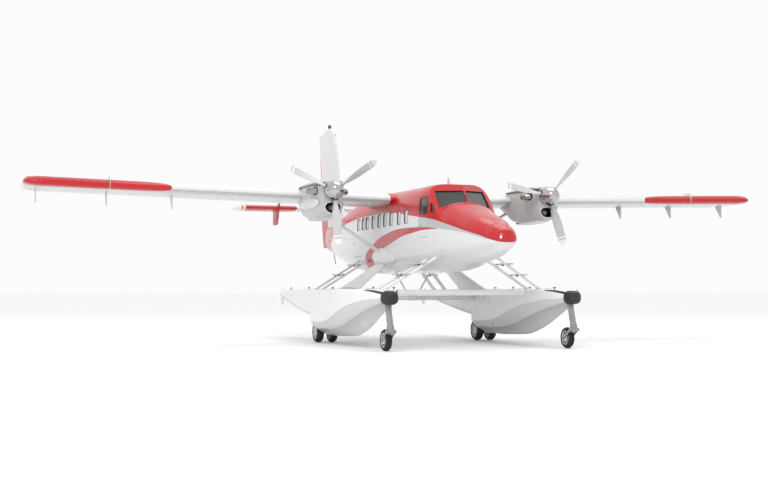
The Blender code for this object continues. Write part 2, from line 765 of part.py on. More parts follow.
def clearance_copy(node, hub):
    """Plugs a little bigger than the hub and blade roots, to cut their room."""
    bm = bmesh.new()
    add_rod(bm, hub + Vector((0, -0.1104, 0)), hub + Vector((0, 0.50, 0)), 0.1306, 20)
    body = object_from("hub_room", bm, True)
    suffix = node.name.rsplit("_", 1)[1]
    for blade in range(3):
        turn = math.radians(FIRST_BLADE_DEG[suffix] + 120 * blade)
        out = Vector((math.cos(turn), 0.0, math.sin(turn)))
        bm = bmesh.new()
        add_rod(bm, hub + out * 0.03, hub + out * 0.40, 0.062, 8)
        boolean(body, object_from("root_room", bm, True), "UNION")
    return body


# Tail
FIN_THICK = 0.10
# Fin: height, leading station
FIN_TABLE = [
    (3.30, 6.60),
    (3.75, 7.12),
    (4.85, 7.63),
    (6.40, 8.33),
    (6.62, 8.55),
]
# Rudder: height, rear station
RUDDER_TABLE = [(2.74, 9.50), (2.89, 9.56), (5.03, 9.82), (6.51, 10.07)]
RUDDER_NOSE_RADIUS = 0.058
TAILPLANE_Z = 3.95
TAILPLANE_HALF = 3.15
TAILPLANE_LE = 8.00
TAILPLANE_REAR = 8.86
TAILPLANE_HALF_THICK = 0.075
ELEVATOR_NOSE_RADIUS = 0.052
ELEVATOR_HINGE = TAILPLANE_REAR + ELEVATOR_NOSE_RADIUS + HINGE_GAP
ELEVATOR_TE = 9.42
ELEVATOR_INNER = 0.42
FINLET_X = 1.88
# Finlet outline: station, height
FINLET_OUTLINE = [(7.96, 3.90), (8.02, 3.45), (8.50, 3.42), (8.78, 3.92), (8.60, 4.14), (8.14, 4.14)]


def fin_rear(z):
    """Station of the fin's rear face, which leans with the rudder's hinge line."""
    return 8.835 + (z - 3.30) * (9.30 - 8.835) / (6.62 - 3.30)


def hinge_station(z):
    return fin_rear(z) + RUDDER_NOSE_RADIUS + HINGE_GAP


def symmetric_ring(lead, rear, z, half_thick):
    """A fin section: round in front, widest at a third, flat at the rear."""
    shares = [(0.0, 0.0), (0.05, 0.45), (0.15, 0.8), (0.35, 1.0), (0.7, 0.9), (1.0, 0.72)]
    chord = rear - lead
    port = [at(half_thick * wide, lead + chord * share, z) for share, wide in shares]
    starboard = [at(-half_thick * wide, lead + chord * share, z) for share, wide in shares[1:]]
    return port + list(reversed(starboard))


def build_tail(hull_grown):
    bm = bmesh.new()
    add_loft(bm, [symmetric_ring(lead, fin_rear(z), z, FIN_THICK * (1 - 0.07 * (z - 3.3)))
                  for z, lead in FIN_TABLE])
    fin = object_from("fin", bm)
    boolean(fin, copy_of(hull_grown, "hull_cut", True), "DIFFERENCE")

    bm = bmesh.new()
    rings = []
    half_outs = [(-TAILPLANE_HALF, 0.6), (-TAILPLANE_HALF + 0.10, 0.92), (-2.6, 1.0), (2.6, 1.0),
                 (TAILPLANE_HALF - 0.10, 0.92), (TAILPLANE_HALF, 0.6)]
    for x, share in half_outs:
        lead = TAILPLANE_LE + (0.10 if share < 0.7 else 0.02 if share < 1 else 0.0)
        rings.append(tailplane_ring(x, lead, TAILPLANE_HALF_THICK * share))
    add_loft(bm, rings)
    tailplane = object_from("tailplane", bm)
    for side in (1.0, -1.0):
        bm = bmesh.new()
        add_loft(bm, [[at(side * FINLET_X + dx, station, z) for station, z in FINLET_OUTLINE]
                      for dx in (-0.015, 0.015)])
        boolean(tailplane, object_from("finlet", bm, True), "UNION")
    bm = bmesh.new()
    add_loft(bm, [tailplane_ring(x, TAILPLANE_LE, TAILPLANE_HALF_THICK, SEAM) for x in (-0.5, 0.5)])
    boolean(fin, object_from("tailplane_room", bm, True), "DIFFERENCE")
    bm = bmesh.new()
    add_rod(bm, at(0.0, 8.84, 6.58), at(0.0, 8.84, 6.76), 0.045, 14, 0.08, 0.03)
    boolean(fin, object_from("beacon", bm, True), "UNION")
    smooth(paint(fin, WHITE))
    smooth(paint(tailplane, RED))

    bm = bmesh.new()
    rings = []
    for z, trail in RUDDER_TABLE:
        hinge = hinge_station(z)
        ring = []
        for i in range(7):
            angle = math.pi / 2 + math.pi * i / 6
            ring.append(at(RUDDER_NOSE_RADIUS * math.sin(angle),
                           hinge + RUDDER_NOSE_RADIUS * math.cos(angle), z))
        ring.append(at(-0.005, trail, z))
        ring.append(at(0.005, trail, z))
        rings.append(ring)
    add_loft(bm, rings)
    rudder = smooth(paint(object_from("rudder", bm), RED))
    hang_on(rudder, empty_at("rudder_hinge", at(0, hinge_station(3.0), 3.0)))

    for side, suffix in ((1.0, "left"), (-1.0, "right")):
        bm = bmesh.new()
        rings = []
        for out in (ELEVATOR_INNER, TAILPLANE_HALF - 0.02):
            ring = []
            for i in range(7):
                angle = math.pi / 2 + math.pi * i / 6
                ring.append(at(side * out, ELEVATOR_HINGE + ELEVATOR_NOSE_RADIUS * math.cos(angle),
                               TAILPLANE_Z + ELEVATOR_NOSE_RADIUS * math.sin(angle)))
            ring.append(at(side * out, ELEVATOR_TE, TAILPLANE_Z - 0.005))
            ring.append(at(side * out, ELEVATOR_TE, TAILPLANE_Z + 0.005))
            rings.append(ring)
        add_loft(bm, rings)
        elevator = smooth(paint(object_from("elevator_" + suffix, bm), RED))
        hang_on(elevator, empty_at("elevator_" + suffix + "_hinge",
                                   at(side * ELEVATOR_INNER, ELEVATOR_HINGE, TAILPLANE_Z)))


def tailplane_ring(x, lead, half_thick, grow=0.0):
    """A tailplane section, drawn out by grow on every side."""
    shares = [(0.05, 0.45), (0.15, 0.8), (0.35, 1.0), (0.7, 0.9), (1.0, 0.72)]
    chord = TAILPLANE_REAR - lead
    top, low = [], []
    for share, wide in shares:
        station = lead + chord * share + (grow if share == 1.0 else 0.0)
        top.append(at(x, station, TAILPLANE_Z + half_thick * wide + grow))
        low.append(at(x, station, TAILPLANE_Z - half_thick * wide - grow))
    return [at(x, lead - grow, TAILPLANE_Z)] + top + list(reversed(low))


# Wing strut, from its foot on the fuselage to the wing spar inside the nacelle
STRUT_FOOT = (0.98, 0.95, 2.42)
STRUT_HEAD = (2.95, 0.72, 3.588)
STRUT_HALF_WIDE = 0.040
STRUT_HALF_DEEP = 0.105


# Strut root fairing: station, half width
ROOT_FAIRING = [(0.00, 0.03), (0.25, 0.12), (0.70, 0.19), (1.15, 0.16), (1.60, 0.03)]


def fairing_solid(name, side, grow=0.0):
    """The smooth fairing round the wing strut's foot, drawn out by grow."""
    rings = []
    for station, half in ROOT_FAIRING:
        angles = [2 * math.pi * i / 12 for i in range(12)]
        rings.append([at(side * (0.84 + (half * 0.75 + grow) * math.cos(a)), station,
                         2.22 + (half * 1.35 + grow) * math.sin(a)) for a in angles])
    bm = bmesh.new()
    add_loft(bm, rings)
    bmesh.ops.triangulate(bm, faces=bm.faces, quad_method="FIXED")
    return object_from(name, bm, True)


def build_wing_struts(hull_grown):
    """Each streamlined strut, cut off at the nacelle, with the fairing round its foot."""
    for side, suffix in ((1.0, "left"), (-1.0, "right")):
        bm = bmesh.new()
        inner = Vector(STRUT_FOOT).lerp(Vector(STRUT_HEAD), -0.05)
        outer = Vector(STRUT_HEAD)
        add_rod(bm, at(side * inner.x, inner.y, inner.z), at(side * outer.x, outer.y, outer.z),
                STRUT_HALF_WIDE, 12, STRUT_HALF_DEEP)
        strut = object_from("wing_strut_" + suffix, bm)
        nacelle_cut = nacelle_loft("nacelle_cut", side * NACELLE_X, NACELLE_TABLE, -SEAM, True)
        boolean(strut, nacelle_cut, "DIFFERENCE")
        boolean(strut, fairing_solid("fairing", side), "UNION")
        boolean(strut, copy_of(hull_grown, "hull_cut", True), "DIFFERENCE")
        smooth(paint(strut, WHITE))


# Floats: station, keel, knuckle, chine, deck height, half width
FLOAT_X = 2.24
FLOAT_TABLE = [
    (-4.08, 1.10, 1.14, 1.20, 1.30, 0.05),
    (-4.05, 1.09, 1.135, 1.20, 1.31, 0.09),
    (-3.92, 1.08, 1.13, 1.20, 1.32, 0.13),
    (-3.62, 0.93, 1.05, 1.16, 1.365, 0.27),
    (-3.10, 0.72, 0.95, 1.125, 1.385, 0.37),
    (-2.57, 0.52, 0.83, 1.06, 1.39, 0.43),
    (-2.10, 0.39, 0.72, 1.00, 1.39, 0.46),
    (-1.62, 0.29, 0.60, 0.90, 1.39, 0.475),
    (-1.20, 0.255, 0.51, 0.80, 1.39, 0.48),
    (-0.71, 0.24, 0.44, 0.68, 1.39, 0.48),
    (-0.40, 0.23, 0.41, 0.62, 1.39, 0.48),
    (0.60, 0.21, 0.37, 0.555, 1.39, 0.48),
    (1.07, 0.21, 0.37, 0.55, 1.39, 0.48),
    (1.071, 0.61, 0.66, 0.735, 1.39, 0.48),
    (1.90, 0.70, 0.75, 0.82, 1.39, 0.475),
    (3.20, 0.87, 0.91, 0.98, 1.385, 0.43),
    (4.60, 1.05, 1.09, 1.15, 1.37, 0.32),
    (5.70, 1.19, 1.22, 1.26, 1.35, 0.16),
    (5.86, 1.22, 1.24, 1.27, 1.34, 0.12),
]
BOW_COVER_BACK = -3.44
RUDDER_POST = 5.925


def float_ring(x0, station, keel, knuckle, chine, deck, half):
    side = [(0.0, keel), (0.05 if half > 0.2 else half * 0.3, keel + 0.004), (half * 0.64, knuckle),
            (half, chine), (half, deck - 0.07), (half - min(0.05, half * 0.3), deck - 0.012),
            (half * 0.4, deck)]
    right = [at(x0 + x, station, z) for x, z in side]
    left = [at(x0 - x, station, z) for x, z in side[1:]]
    return right + list(reversed(left))


def float_solid(name, x0, grow=0.0, cutter=False):
    """A whole float, drawn out by grow, with fixed diagonals."""
    bm = bmesh.new()
    add_loft(bm, [float_ring(x0, station, keel - grow, knuckle - grow, chine - grow, deck + grow,
                             half + grow)
                  for station, keel, knuckle, chine, deck, half in FLOAT_TABLE])
    bmesh.ops.triangulate(bm, faces=bm.faces, quad_method="FIXED")
    return object_from(name, bm, cutter)


def build_floats():
    """Each float's hull, with its stern bracket, and the black cover over its bow."""
    for side, suffix in ((1.0, "left"), (-1.0, "right")):
        x0 = side * FLOAT_X
        hull = float_solid("float_" + suffix, x0)
        bow = copy_of(hull, "bow", True)
        boolean(bow, box_object("front", at(x0 - 1, -5, 1.00), at(x0 + 1, BOW_COVER_BACK, 2),
                                True), "INTERSECT")
        boolean(hull, box_object("front", at(x0 - 1, -5, 1.00 - SEAM),
                                 at(x0 + 1, BOW_COVER_BACK + SEAM, 2), True), "DIFFERENCE")
        bm = bmesh.new()
        add_rod(bm, at(x0, 5.80, 1.30), at(x0, RUDDER_POST - 0.02 - HINGE_GAP, 1.30), 0.03, 12)
        boolean(hull, object_from("stern_bracket", bm, True), "UNION")
        cover = copy_of(bow, "bow_cover_" + suffix)
        bpy.data.objects.remove(bow, do_unlink=True)
        top, low = at(x0, *BOW_LEG_TOP), at(x0, *BOW_LEG_LOW)
        for piece in (cover, hull):
            bm = bmesh.new()
            add_rod(bm, top + (top - low).normalized() * SEAM, low, BOW_LEG_RADIUS + 2 * SEAM, 16)
            boolean(piece, object_from("leg_room", bm, True), "DIFFERENCE")
        smooth(paint(cover, BLACK, 0.6), 25.0)
        smooth(paint(hull, WHITE), 25.0)


# Struts between the floats and the fuselage: foot and head as (out, station, height)
FRONT_STRUTS = [((1.94, -2.73, 1.395), (0.80, -2.92, 2.10)),
                ((1.92, -2.09, 1.395), (0.80, -2.28, 2.06))]
REAR_STRUTS = [((1.80, 3.17, 1.392), (0.80, 2.20, 2.17)),
               ((1.78, 3.97, 1.385), (0.80, 2.97, 2.17))]
STEP_SHARES = [0.36, 0.68]
STEP_HALF_LONG = 0.50
FLOAT_STRUT_HALF_WIDE = 0.028
FLOAT_STRUT_HALF_DEEP = 0.060
CENTRE_STRUT = [(1.71, 0.05, 1.80, 1.392), (1.02, 0.38, 1.19, 1.93)]
# Spreader bars between the floats: station, height, radius
SPREADERS = {"front_spreader": (-2.20, 1.30, 0.07), "middle_spreader": (0.87, 1.15, 0.055)}


def trim_to_neighbours(node, hull_grown, float_cutter):
    """Takes away what reaches into the fuselage or the floats."""
    boolean(node, copy_of(hull_grown, "hull_cut", True), "DIFFERENCE")
    boolean(node, copy_of(float_cutter, "float_cut", True), "DIFFERENCE")
    return smooth(paint(node, WHITE))


def build_float_struts(hull_grown, float_cutter):
    """Strut pairs with their step planks, wide centre struts, spreader bars and braces."""
    for name, pair in (("front_float_struts", FRONT_STRUTS), ("rear_float_struts", REAR_STRUTS)):
        for side, suffix in ((1.0, "left"), (-1.0, "right")):
            node = None
            for foot, head in pair:
                down = Vector(foot).lerp(Vector(head), -0.05)
                up = Vector(head).lerp(Vector(foot), -0.20)
                bm = bmesh.new()
                add_rod(bm, at(side * down.x, down.y, down.z), at(side * up.x, up.y, up.z),
                        FLOAT_STRUT_HALF_WIDE, 10, FLOAT_STRUT_HALF_DEEP)
                if node is None:
                    node = object_from(name + "_" + suffix, bm)
                else:
                    boolean(node, object_from("second", bm, True), "UNION")
            for share in STEP_SHARES:
                front, back = [Vector(foot).lerp(Vector(head), share) for foot, head in pair]
                centre = at(side * (front.x + back.x) / 2, (front.y + back.y) / 2, front.z + 0.02)
                reach = Vector((0.055, STEP_HALF_LONG, 0.014))
                boolean(node, box_object("plank", centre - reach, centre + reach, True), "UNION")
            trim_to_neighbours(node, hull_grown, float_cutter)

    foot, head = CENTRE_STRUT
    for side, suffix in ((1.0, "left"), (-1.0, "right")):
        rings = []
        for share in (-0.06, 1.35):
            out, first, last, z = [a + (b - a) * share for a, b in zip(foot, head)]
            middle, half = (first + last) / 2, (last - first) / 2
            angles = [2 * math.pi * i / 16 for i in range(16)]
            rings.append([at(side * (out + 0.045 * math.sin(a)), middle - half * math.cos(a),
                             z + 0.045 * math.sin(a)) for a in angles])
        bm = bmesh.new()
        add_loft(bm, rings)
        strut = object_from("centre_float_strut_" + suffix, bm)
        trim_to_neighbours(strut, hull_grown, float_cutter)
        boolean(strut, fairing_solid("fairing_room", side, 2 * SEAM), "DIFFERENCE")

    for name, (station, z, half) in SPREADERS.items():
        bm = bmesh.new()
        add_rod(bm, at(-2.0, station, z), at(2.0, station, z), half, 16)
        bar = object_from(name, bm)
        if name == "middle_spreader":
            for side in (1.0, -1.0):
                bm = bmesh.new()
                add_rod(bm, at(side * 0.08, 0.87, 1.16), at(side * 0.52, 0.80, 1.90), 0.022, 10)
                boolean(bar, object_from("brace", bm, True), "UNION")
        trim_to_neighbours(bar, hull_grown, float_cutter)


# Landing gear
BOW_LEG_TOP = (-3.70, 1.24)
BOW_LEG_LOW = (-3.94, 0.50)
BOW_LEG_RADIUS = 0.058
BOW_WHEEL = (-3.62, 0.245)
BOW_WHEEL_RADIUS = 0.245
BOW_WHEEL_HALF = 0.075
BOW_AXLE_RADIUS = 0.019
FORK_COLLAR_RADIUS = 0.085
MAIN_WHEEL = (1.374, 0.28)
MAIN_WHEEL_RADIUS = 0.28
MAIN_WHEEL_HALF = 0.095
MAIN_WHEEL_APART = 0.188
MAIN_AXLE_RADIUS = 0.025
WHEEL_STEPS = 18


def tyre_profile(radius, half, hub_radius, axle_radius):
    """Closed profile of a wheel with its tyre: (radius, height), down the outer side."""
    bore = (axle_radius + HINGE_GAP) / math.cos(math.pi / WHEEL_STEPS)
    return [(bore, half * 0.72), (hub_radius, half * 0.72), (hub_radius + 0.012, half),
            (radius - 0.06, half), (radius, half * 0.45),
            (radius, -half * 0.45), (radius - 0.06, -half),
            (hub_radius + 0.012, -half), (hub_radius, -half * 0.72), (bore, -half * 0.72)]


def build_wheel(name, x, centre, radius, half, hub_radius, axle_radius):
    """A wheel with its tyre, turned about the axle through (station, height) centre."""
    profile = tyre_profile(radius, half, hub_radius, axle_radius)
    wheel = turned(name, profile, at(x, *centre), WHEEL_STEPS, True)
    wheel.rotation_euler = (0.0, math.radians(90.0), 0.0)
    set_mesh_place(wheel)
    return smooth(paint(wheel, BLACK, 0.8))


def build_gear(float_cutter):
    """Bow legs with castering forks, and main legs with twin wheels behind the step."""
    for side, suffix in ((1.0, "left"), (-1.0, "right")):
        x0 = side * FLOAT_X
        top, low = at(x0, *BOW_LEG_TOP), at(x0, *BOW_LEG_LOW)
        down = (low - top).normalized()
        bm = bmesh.new()
        add_rod(bm, top, low, BOW_LEG_RADIUS, 16)
        smooth(paint(object_from("bow_leg_" + suffix, bm), BARE_METAL, 0.4, 0.6))

        bm = bmesh.new()
        collar = low + down * HINGE_GAP
        add_rod(bm, collar, collar + down * 0.10, FORK_COLLAR_RADIUS, 16)
        fork = object_from("bow_fork_" + suffix, bm)
        wheel_centre = at(x0, *BOW_WHEEL)
        yoke = collar + down * 0.06
        reach = BOW_WHEEL_HALF + 0.028
        bm = bmesh.new()
        add_rod(bm, yoke - Vector((reach + 0.018, 0, 0)), yoke + Vector((reach + 0.018, 0, 0)),
                0.04, 12)
        boolean(fork, object_from("yoke", bm, True), "UNION")
        for way in (1.0, -1.0):
            bm = bmesh.new()
            shift = Vector((way * reach, 0, 0))
            add_rod(bm, yoke + shift, wheel_centre + shift * 1.0001, 0.014, 10, 0.032)
            boolean(fork, object_from("arm", bm, True), "UNION")
        bm = bmesh.new()
        axle_reach = Vector((reach + 0.016, 0, 0))
        add_rod(bm, wheel_centre - axle_reach, wheel_centre + axle_reach, BOW_AXLE_RADIUS, 12)
        boolean(fork, object_from("axle", bm, True), "UNION")
        smooth(paint(fork, BARE_METAL, 0.4, 0.6))
        swivel = empty_at("bow_fork_" + suffix + "_swivel", low)
        hang_on(fork, swivel)
        wheel = build_wheel("bow_wheel_" + suffix, x0, BOW_WHEEL, BOW_WHEEL_RADIUS,
                            BOW_WHEEL_HALF, 0.115, BOW_AXLE_RADIUS)
        hang_on(wheel, swivel)

        bm = bmesh.new()
        add_rod(bm, at(x0, MAIN_WHEEL[0], MAIN_WHEEL[1]), at(x0, MAIN_WHEEL[0], 0.80), 0.045, 14)
        leg = object_from("main_leg_" + suffix, bm)
        bm = bmesh.new()
        axle_reach = Vector((MAIN_WHEEL_APART + 0.11, 0, 0))
        centre = at(x0, *MAIN_WHEEL)
        add_rod(bm, centre - axle_reach, centre + axle_reach, MAIN_AXLE_RADIUS, 12)
        boolean(leg, object_from("axle", bm, True), "UNION")
        boolean(leg, copy_of(float_cutter, "float_cut", True), "DIFFERENCE")
        smooth(paint(leg, BARE_METAL, 0.4, 0.6))
        axle = empty_at("main_wheels_" + suffix + "_axle", centre)
        for way, word in ((1.0, "outer"), (-1.0, "inner")):
            x = x0 + side * way * MAIN_WHEEL_APART
            wheel = build_wheel("main_wheel_" + suffix + "_" + word, x, MAIN_WHEEL,
                                MAIN_WHEEL_RADIUS, MAIN_WHEEL_HALF, 0.14, MAIN_AXLE_RADIUS)
            hang_on(wheel, axle)


# Water rudder outline behind the stern: station, height
WATER_RUDDER_OUTLINE = [(5.93, 1.34), (6.20, 1.34), (6.22, 0.96), (6.02, 0.90), (5.93, 1.10)]


def build_water_rudders():
    """A thin blade on an upright post behind each float."""
    for side, suffix in ((1.0, "left"), (-1.0, "right")):
        x0 = side * FLOAT_X
        bm = bmesh.new()
        add_loft(bm, [[at(x0 + dx, station, z) for station, z in WATER_RUDDER_OUTLINE]
                      for dx in (-0.012, 0.012)])
        blade = object_from("water_rudder_" + suffix, bm)
        bm = bmesh.new()
        add_rod(bm, at(x0, RUDDER_POST, 1.08), at(x0, RUDDER_POST, 1.42), 0.02, 12)
        boolean(blade, object_from("post", bm, True), "UNION")
        smooth(paint(blade, WHITE))
        hang_on(blade, empty_at("water_rudder_" + suffix + "_pivot",
                                at(x0, RUDDER_POST, 1.3)))


def add_antennas():
    """A blade aerial on the cockpit roof, a whip behind the wing and a rod under the tail."""
    bm = bmesh.new()
    add_loft(bm, [[at(dx, station, z) for station, dx in
                   ((-1.86, 0.0), (-1.80, 0.012), (-1.68, 0.008), (-1.66, 0.0),
                    (-1.68, -0.008), (-1.80, -0.012))] for z in (3.87, 4.10)])
    boolean(bpy.data.objects["cockpit_shell"], object_from("blade_aerial", bm, True), "UNION")
    for name, start, end in (("whip_aerial", at(0, 4.90, 3.71), at(0, 5.02, 4.25)),
                             ("tail_rod", at(0, 8.38, 2.66), at(0, 8.12, 2.24))):
        bm = bmesh.new()
        add_rod(bm, start, end, 0.014, 8)
        boolean(bpy.data.objects["tail_cone"], object_from(name, bm, True), "UNION")


hull_grown = outer_hull("hull_grown", -2 * SEAM)
build_fuselage()
bpy.data.objects.remove(bpy.data.objects["outside"], do_unlink=True)
build_interior()
build_wings(hull_grown)
build_nacelles()
build_propellers()
build_tail(hull_grown)
build_wing_struts(hull_grown)
build_floats()
float_cutter = float_solid("float_room", FLOAT_X, SEAM, True)
boolean(float_cutter, float_solid("other_float_room", -FLOAT_X, SEAM, True), "UNION")
build_float_struts(hull_grown, float_cutter)
build_gear(float_cutter)
build_water_rudders()
add_antennas()
for helper in (hull_grown, float_cutter):
    bpy.data.objects.remove(helper, do_unlink=True)
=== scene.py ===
# Twin-turboprop commuter airliner on amphibious floats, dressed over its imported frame.
# Metres; +Z is up, the nose points to -Y and the port side is +X. A station is a distance
# behind the straight wing's leading edge, negative ahead of it.

import math

import bmesh
import bpy
import numpy as np
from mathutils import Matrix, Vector


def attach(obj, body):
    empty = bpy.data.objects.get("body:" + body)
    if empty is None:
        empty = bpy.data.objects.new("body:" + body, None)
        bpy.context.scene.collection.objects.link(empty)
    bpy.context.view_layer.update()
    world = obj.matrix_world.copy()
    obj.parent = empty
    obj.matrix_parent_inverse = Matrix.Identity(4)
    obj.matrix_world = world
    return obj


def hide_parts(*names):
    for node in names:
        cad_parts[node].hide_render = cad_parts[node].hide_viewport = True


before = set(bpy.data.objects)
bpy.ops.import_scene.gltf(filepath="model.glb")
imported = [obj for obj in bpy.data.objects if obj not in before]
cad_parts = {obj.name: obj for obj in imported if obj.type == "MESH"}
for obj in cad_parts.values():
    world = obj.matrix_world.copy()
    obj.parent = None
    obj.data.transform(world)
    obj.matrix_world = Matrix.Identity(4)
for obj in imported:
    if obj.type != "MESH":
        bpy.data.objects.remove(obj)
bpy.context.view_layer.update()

# Studio: a plain pale floor that runs out of sight, even white light from all round, a
# large soft lamp above the starboard bow, and the camera low in front of that wing.
CAMERA_PLACE = (-10.929, -31.882, 1.346)
CAMERA_TILT = math.radians(92.413)
CAMERA_TURN = math.radians(-18.462)
CAMERA_LENS = 57.39
FLOOR_REACH = 600.0
FLOOR_COLOUR = (0.96, 0.96, 0.965)


def wire(tree, kind, *feeds, out=0, **settings):
    """A new node with its settings; its inputs are fed in order by sockets or plain values."""
    made = tree.nodes.new(kind)
    for word, value in settings.items():
        setattr(made, word, value)
    for socket, feed in zip(made.inputs, feeds):
        if isinstance(feed, bpy.types.NodeSocket):
            tree.links.new(feed, socket)
        elif feed is not None:
            socket.default_value = feed
    return made.outputs[out]


def new_finish(name, metallic=0.0, coat=0.0, specular=0.5, transmission=0.0, ior=1.5):
    """A node material: the material, its tree, its shader and the piece's own coordinates."""
    made = bpy.data.materials.new(name)
    made.use_nodes = True
    tree = made.node_tree
    shader = tree.nodes["Principled BSDF"]
    shader.inputs["Metallic"].default_value = metallic
    shader.inputs["Coat Weight"].default_value = coat
    shader.inputs["Coat Roughness"].default_value = 0.05
    shader.inputs["Specular IOR Level"].default_value = specular
    shader.inputs["Transmission Weight"].default_value = transmission
    shader.inputs["IOR"].default_value = ior
    return made, tree, shader, wire(tree, "ShaderNodeTexCoord", out=3)


def cloud(tree, spot, scale, detail=3.0, low=0.0, high=1.0):
    """Soft noise over the piece, spread between two values."""
    noise = wire(tree, "ShaderNodeTexNoise", spot, None, scale, detail)
    return ramp(tree, noise, 0.3, 0.7, low, high)


def maths(tree, operation, *feeds):
    """One math node of this operation, fed in order."""
    return wire(tree, "ShaderNodeMath", *feeds, operation=operation)


def ramp(tree, value, start, end, low=0.0, high=1.0):
    """The value's place between start and end, read as low to high."""
    return wire(tree, "ShaderNodeMapRange", value, start, end, low, high)


def blended(tree, share, first, second):
    """The first colour where the share is 0, the second where it is 1."""
    return wire(tree, "ShaderNodeMix", share, None, None, None, None, None,
                first if isinstance(first, bpy.types.NodeSocket) else (*first, 1.0),
                second if isinstance(second, bpy.types.NodeSocket) else (*second, 1.0),
                out=2, data_type="RGBA")


def surface_feel(tree, shader, spot, rough, rough_vary, grain_scale, grain_depth):
    """Uneven gloss and a fine relief, in metres, on a material's shader."""
    gloss = cloud(tree, spot, 3.0, 4.0, rough - rough_vary, rough + rough_vary)
    tree.links.new(gloss, shader.inputs["Roughness"])
    grain = wire(tree, "ShaderNodeTexNoise", spot, None, grain_scale, 3.0)
    relief = wire(tree, "ShaderNodeBump", 0.6, grain_depth)
    tree.links.new(grain, relief.node.inputs["Height"])
    tree.links.new(relief, shader.inputs["Normal"])


def plain_finish(name, colour, rough=0.4, vary=0.08, mottle=2.0, grain=60.0, depth=0.0004,
                 shift=0.10, **kind):
    """A finish of one colour that clouds a little darker, with its own gloss and grain."""
    made, tree, shader, spot = new_finish(name, **kind)
    darker = tuple(channel * (1.0 - shift) for channel in colour)
    tree.links.new(blended(tree, cloud(tree, spot, mottle), colour, darker),
                   shader.inputs["Base Color"])
    surface_feel(tree, shader, spot, rough, vary, grain, depth)
    return made


floor_finish = plain_finish("pale_floor", FLOOR_COLOUR, rough=0.55, vary=0.05, mottle=0.05,
                            grain=4.0, depth=0.0, shift=0.01, specular=0.25)
floor_mesh = bpy.data.meshes.new("studio_floor")
floor_mesh.from_pydata([(-FLOOR_REACH, -FLOOR_REACH, 0.0), (FLOOR_REACH, -FLOOR_REACH, 0.0),
                        (FLOOR_REACH, FLOOR_REACH, 0.0), (-FLOOR_REACH, FLOOR_REACH, 0.0)],
                       [], [(0, 1, 2, 3)])
floor_mesh.materials.append(floor_finish)
floor = bpy.data.objects.new("studio_floor", floor_mesh)
bpy.context.scene.collection.objects.link(floor)

bpy.context.scene.view_settings.view_transform = "Standard"
world = bpy.data.worlds.new("studio_air")
world.use_nodes = True
world.node_tree.nodes["Background"].inputs["Color"].default_value = (1.0, 1.0, 1.0, 1.0)
world.node_tree.nodes["Background"].inputs["Strength"].default_value = 0.97
bpy.context.scene.world = world

# Each lamp: name, place, size in metres, power in watts
for lamp_name, lamp_place, lamp_size, lamp_power in (
        ("key_lamp", (-16.0, -22.0, 22.0), 12.0, 2600.0),
        ("top_lamp", (4.0, 2.0, 24.0), 20.0, 1500.0)):
    lamp_data = bpy.data.lights.new(lamp_name, "AREA")
    lamp_data.shape = "DISK"
    lamp_data.size = lamp_size
    lamp_data.energy = lamp_power
    lamp = bpy.data.objects.new(lamp_name, lamp_data)
    lamp.location = lamp_place
    lamp.rotation_euler = (Vector((0.0, -1.0, 1.5)) - Vector(lamp_place)).to_track_quat("-Z", "Y").to_euler()
    bpy.context.scene.collection.objects.link(lamp)

camera_data = bpy.data.cameras.new("studio_camera")
camera_data.lens = CAMERA_LENS
camera_data.clip_end = 2000.0
camera = bpy.data.objects.new("studio_camera", camera_data)
camera.location = CAMERA_PLACE
camera.rotation_euler = (CAMERA_TILT, 0.0, CAMERA_TURN)
bpy.context.scene.collection.objects.link(camera)
bpy.context.scene.camera = camera

# Fuselage: a riveted aluminium skin over frames, one tapering body from the nose to the
# fin, with the nose deck let in under a windscreen of two flat slopes. Door and window
# openings are cut through it, with dark seals round their rims.
WING_LEAD_Y = -2.375
NOSE_TABLE = [
    (-5.32, 2.42, 2.45, 2.485, 0.04, 2.0, 2.0),
    (-5.26, 2.36, 2.46, 2.605, 0.152, 2.0, 2.0),
    (-5.08, 2.26, 2.48, 2.744, 0.281, 2.1, 2.0),
    (-4.75, 2.165, 2.51, 2.862, 0.38, 2.2, 2.1),
    (-4.40, 2.09, 2.55, 2.985, 0.49, 2.4, 2.2),
    (-3.70, 2.00, 2.62, 3.185, 0.625, 2.7, 2.3),
    (-3.00, 1.94, 2.70, 3.41, 0.735, 3.1, 2.4),
    (-2.30, 1.84, 2.75, 3.50, 0.80, 3.3, 2.6),
]
BODY_TABLE = [
    (-3.30, 2.02, 2.70, 3.72, 0.68, 3.1, 3.6),
    (-2.80, 1.90, 2.72, 3.83, 0.75, 3.2, 4.4),
    (-2.20, 1.83, 2.75, 3.895, 0.825, 3.4, 4.8),
    (-1.40, 1.80, 2.75, 3.91, 0.87, 3.5, 4.4),
    (0.00, 1.80, 2.75, 3.935, 0.875, 3.6, 4.0),
    (1.90, 1.80, 2.75, 3.945, 0.875, 3.6, 4.0),
    (2.80, 1.81, 2.75, 3.925, 0.875, 3.6, 3.7),
    (3.60, 1.86, 2.76, 3.88, 0.865, 3.5, 3.4),
    (4.50, 1.97, 2.80, 3.79, 0.82, 3.3, 3.2),
    (5.60, 2.15, 2.87, 3.63, 0.69, 3.0, 2.8),
    (7.00, 2.37, 2.97, 3.50, 0.47, 2.6, 2.4),
    (8.20, 2.56, 3.02, 3.43, 0.25, 2.3, 2.2),
    (8.84, 2.66, 3.03, 3.41, 0.13, 2.2, 2.2),
]
FIN_FOOT_STATION = 8.835
FIN_FOOT_Z = 3.30
FIN_LEAN = 0.14006
HULL_WALL = 0.05
CABIN_FRONT = -2.95
CABIN_BACK = 4.40
POST_FOOT = (0.0, -3.016, 3.436)
POST_HEAD = (0.0, -2.752, 3.712)
SIDE_FOOT = (0.666, -2.783, 3.291)
SLOPE_PER_RISE = 0.956
SLOPE_PER_OUT = 0.558
